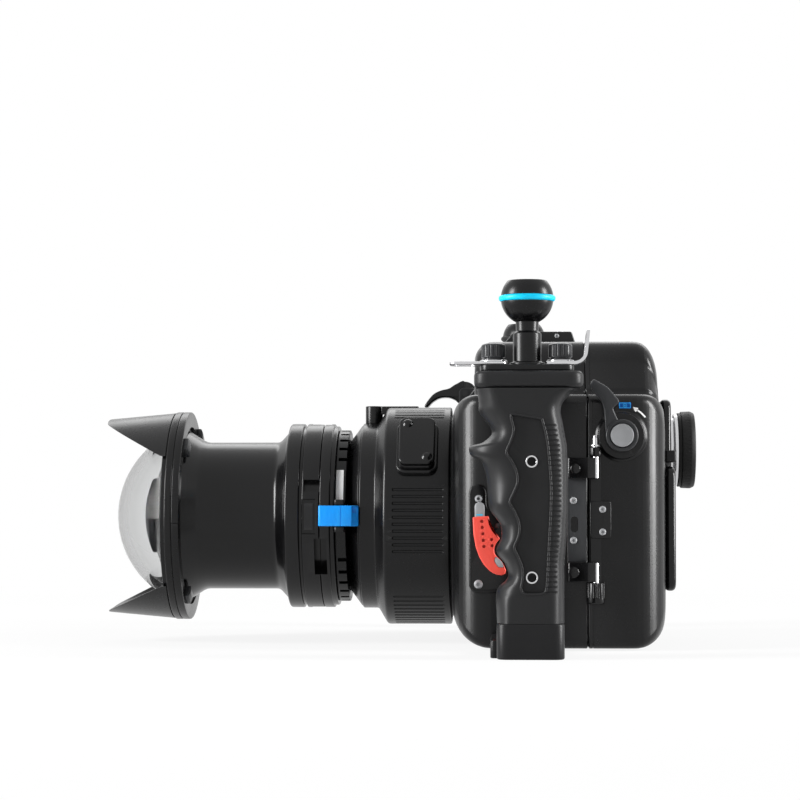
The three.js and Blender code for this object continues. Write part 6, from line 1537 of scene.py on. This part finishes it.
def make_latch():
    low, high = span("door_latch")
    x, z = low[0] + LATCH_HUB, middle("door_latch")[1]
    wall, face = HALF_WIDTH, high[1]
    knob = turned("latch_knob", [(low[1], 0), (low[1], 2.9), (wall + 0.3, 2.9), (wall + 0.3, 12.2, 0.4),
                                 (wall + 2, 12.9, 0.5), (face - 1.2, 12.9, 0.9), (face, 11, 0.8), (face, 0)],
                  "Y", (x, z), 96)
    edge = rounded([(x, z - 6, 0), (high[0], z - 6, 4), (high[0], z + 6, 4), (x, z + 6, 0)])
    join(knob, prism("arm", edge, wall + 0.35, wall + 6.3, "Y", 0.7, 3))
    flutes = all_round(lambda: rod("flute", "Y", wall + 2.2, face + 2, 0.7, (x, z - 13.2), 10, 0.4), 28, "Y",
                       (x, 0, z))
    hollow = rectangle(x - 8.6, z - 2.2, x + 8.6, z + 2.2, 2.1)
    cut(knob, flutes, prism("hollow", hollow, face - 1.6, face + 2, "Y"))
    dress(knob, DARK_GREY, "latch", ["door_latch"], 32)
    edge = rectangle(high[0] - 7, z - 0.5, high[0] - 2, z + 0.5, 0.4)
    dress(prism("latch_mark", edge, wall + 6.2, wall + 6.45, "Y"), WHITE, "latch")


def make_valve():
    low, high = span("vacuum_valve")
    x, z = middle("vacuum_valve")
    wall, face = HALF_WIDTH, high[1]
    cap = turned("valve_cap", [(low[1], 0), (low[1], 4.5, 0.4), (wall + 0.3, 4.5), (wall + 0.3, 8.2, 0.4),
                               (face - 1, 8.2, 0.8), (face, 7, 0.6), (face, 0)], "Y", (x, z), 72)
    flutes = all_round(lambda: rod("flute", "Y", wall + 1.5, face + 2, 0.6, (x, z - 8.4), 10, 0.4), 24, "Y",
                       (x, 0, z))
    slot = rectangle(x - 5, z - 0.8, x + 5, z + 0.8, 0.7)
    cut(cap, flutes, prism("slot", slot, face - 1.2, face + 2, "Y"))
    dress(cap, RUBBER, "housing", ["vacuum_valve"], 32)


def make_foot():
    low, high = span("foot_plate")
    foot = prism("foot_pad", face_of("foot_plate", "XY", 0, 5), low[2], high[2] - 0.05, "Z", 0.8, 3)
    corners = [(x, y) for x in (low[0] + 8, high[0] - 8) for y in (low[1] + 8, high[1] - 8)]
    wells = [rod("well", "Z", -1, low[2] + 1.6, 3.4, corner, 40) for corner in corners]
    cut(foot, *wells, rod("thread", "Z", -1, low[2] + 2.6, 3.2, (middle("foot_plate")[0], 0), 40))
    dress(foot, PLASTIC, "housing", ["foot_plate"])
    screws = [screw("Z", corner, low[2] + 1.55, -1.0, 2.9) for corner in corners]
    dress(gather("foot_screws", screws), STEEL, "housing")


def make_boards():
    low, high = span("leak_sensor")
    board = block("leak_board", low[0], high[0], low[1], high[1], low[2], low[2] + 1.5, 0.2)
    dress(board, BOARD, "housing", ["leak_sensor"])
    pads = [block("pad", x, x + 2.4, low[1] + 3, high[1] - 3, low[2] + 1.4, high[2] - 0.1, 0.15)
            for x in (low[0] + 2, low[0] + 7, low[0] + 12)]
    dress(gather("leak_pads", pads), STEEL, "housing")
    low, high = span("control_board")
    board = block("main_board", low[0], high[0], high[1] - 1.2, high[1] - 0.02, low[2], high[2], 0.2)
    dress(board, BOARD, "housing", ["control_board"])
    chips = [block("chip", x, x + wide, low[1] + 0.05, high[1] - 1.1, z, z + tall, 0.15)
             for x, z, wide, tall in placed(CHIPS, low[0], low[2])]
    dress(gather("board_chips", chips), PLASTIC, "housing")


def make_port_glass():
    low, high = span("port_glass")
    dress(rod("port_pane", "X", low[0], high[0], high[2] - AXIS - 0.1, (0, AXIS), 128, 0.4, 0.4),
          CLEAR, "port", ["port_glass"])
    low, high = span("port_ring")
    radius = high[2] - AXIS
    ring = on_axis("port_mount", [(low[0], 47.1), (low[0], radius - 0.2, 0.8), (low[0] + 3, radius, 0.3),
                                  (high[0], radius), (high[0], 47.1)], 160)
    dress(ring, DARK_GREY, "housing", ["port_ring"])


make_latch()
make_valve()
make_foot()
make_boards()
make_port_glass()

# Floor, light and camera

def operate(tree, operation, *sources):
    """Output of a maths node that takes some outputs."""
    step = tree.nodes.new("ShaderNodeMath")
    step.operation = operation
    for i, source in enumerate(sources):
        tree.links.new(source, step.inputs[i])
    return step.outputs[0]


def shown_directly(tree):
    """One where the camera sees a point straight, in a reflection or through glass, else zero."""
    path = tree.nodes.new("ShaderNodeLightPath")
    seen = path.outputs["Is Camera Ray"]
    for kind in ("Is Glossy Ray", "Is Transmission Ray"):
        seen = operate(tree, "MAXIMUM", seen, path.outputs[kind])
    return seen


def blend_into(tree, share, first, second, end):
    """Feeds the end node with two shaders, mixed by a share of the second one."""
    blend = tree.nodes.new("ShaderNodeMixShader")
    for i, source in enumerate((share, first.outputs[0], second.outputs[0])):
        tree.links.new(source, blend.inputs[i])
    tree.links.new(blend.outputs[0], tree.nodes[end].inputs["Surface"])


def make_floor():
    """Pale floor that shows white and keeps a soft shadow round the object."""
    reach = 4000
    corners = [(-reach, -reach, 0), (reach, -reach, 0), (reach, reach, 0), (-reach, reach, 0)]
    floor = mesh_object("floor", corners, [[0, 1, 2, 3]])
    look, tree, shader = new_look("floor")
    tree.nodes.remove(shader)
    plain = put(tree, "BsdfDiffuse", Color=(0.86, 0.86, 0.86, 1))
    glow = put(tree, "Emission", Color=(1, 1, 1, 1), Strength=1.0)
    place = put(tree, "NewGeometry")
    far = put(tree, "VectorMath")
    far.operation = "LENGTH"
    tree.links.new(place.outputs["Position"], far.inputs[0])
    share = put(tree, "MapRange", From_Min=0.3, From_Max=0.9, To_Min=0.86, To_Max=1.0)
    tree.links.new(far.outputs["Value"], share.inputs["Value"])
    seen = operate(tree, "MULTIPLY", shown_directly(tree), share.outputs["Result"])
    blend_into(tree, seen, plain, glow, "Material Output")
    floor.data.materials.append(look)


def make_world():
    """White backdrop to the camera and in reflections, an even soft light to the object."""
    world = bpy.data.worlds.new("studio")
    bpy.context.scene.world = world
    world.use_nodes = True
    tree = world.node_tree
    soft = tree.nodes["Background"]
    soft.inputs["Color"].default_value = (1, 1, 1, 1)
    soft.inputs["Strength"].default_value = 0.2
    white = put(tree, "Background", Color=(1, 1, 1, 1), Strength=1.0)
    blend_into(tree, shown_directly(tree), soft, white, "World Output")


def softbox(name, place, target, width, height, power):
    light = bpy.data.lights.new(name, "AREA")
    light.shape = "RECTANGLE"
    light.size = width
    light.size_y = height
    light.energy = power
    lamp = bpy.data.objects.new(name, light)
    lamp.location = place
    lamp.rotation_euler = (Vector(target) - Vector(place)).to_track_quat("-Z", "Y").to_euler()
    bpy.context.scene.collection.objects.link(lamp)


def make_camera():
    """The photograph's view: its place and aim were worked out from the two balls and the handles."""
    lens = bpy.data.cameras.new("camera")
    lens.sensor_width = 36.0
    lens.lens = 110.4
    lens.clip_end = 50.0
    camera = bpy.data.objects.new("camera", lens)
    camera.location = (-0.024, -1.327, 0.0733)
    camera.rotation_euler = Vector((-0.04525, 1, 0.04280)).to_track_quat("-Z", "Y").to_euler()
    bpy.context.scene.collection.objects.link(camera)
    bpy.context.scene.camera = camera


make_floor()
make_world()
softbox("overhead", (-0.05, 1.30, 1.10), (-0.05, 0, 0.08), 1.9, 0.6, 8.0)
softbox("left_side", (-1.42, -0.52, 0.42), (-0.05, 0, 0.10), 0.5, 1.2, 46.0)
softbox("right_side", (1.52, -0.20, 0.42), (0, 0, 0.10), 0.45, 1.2, 48.0)
make_camera()
bpy.context.scene.view_settings.view_transform = "Standard"
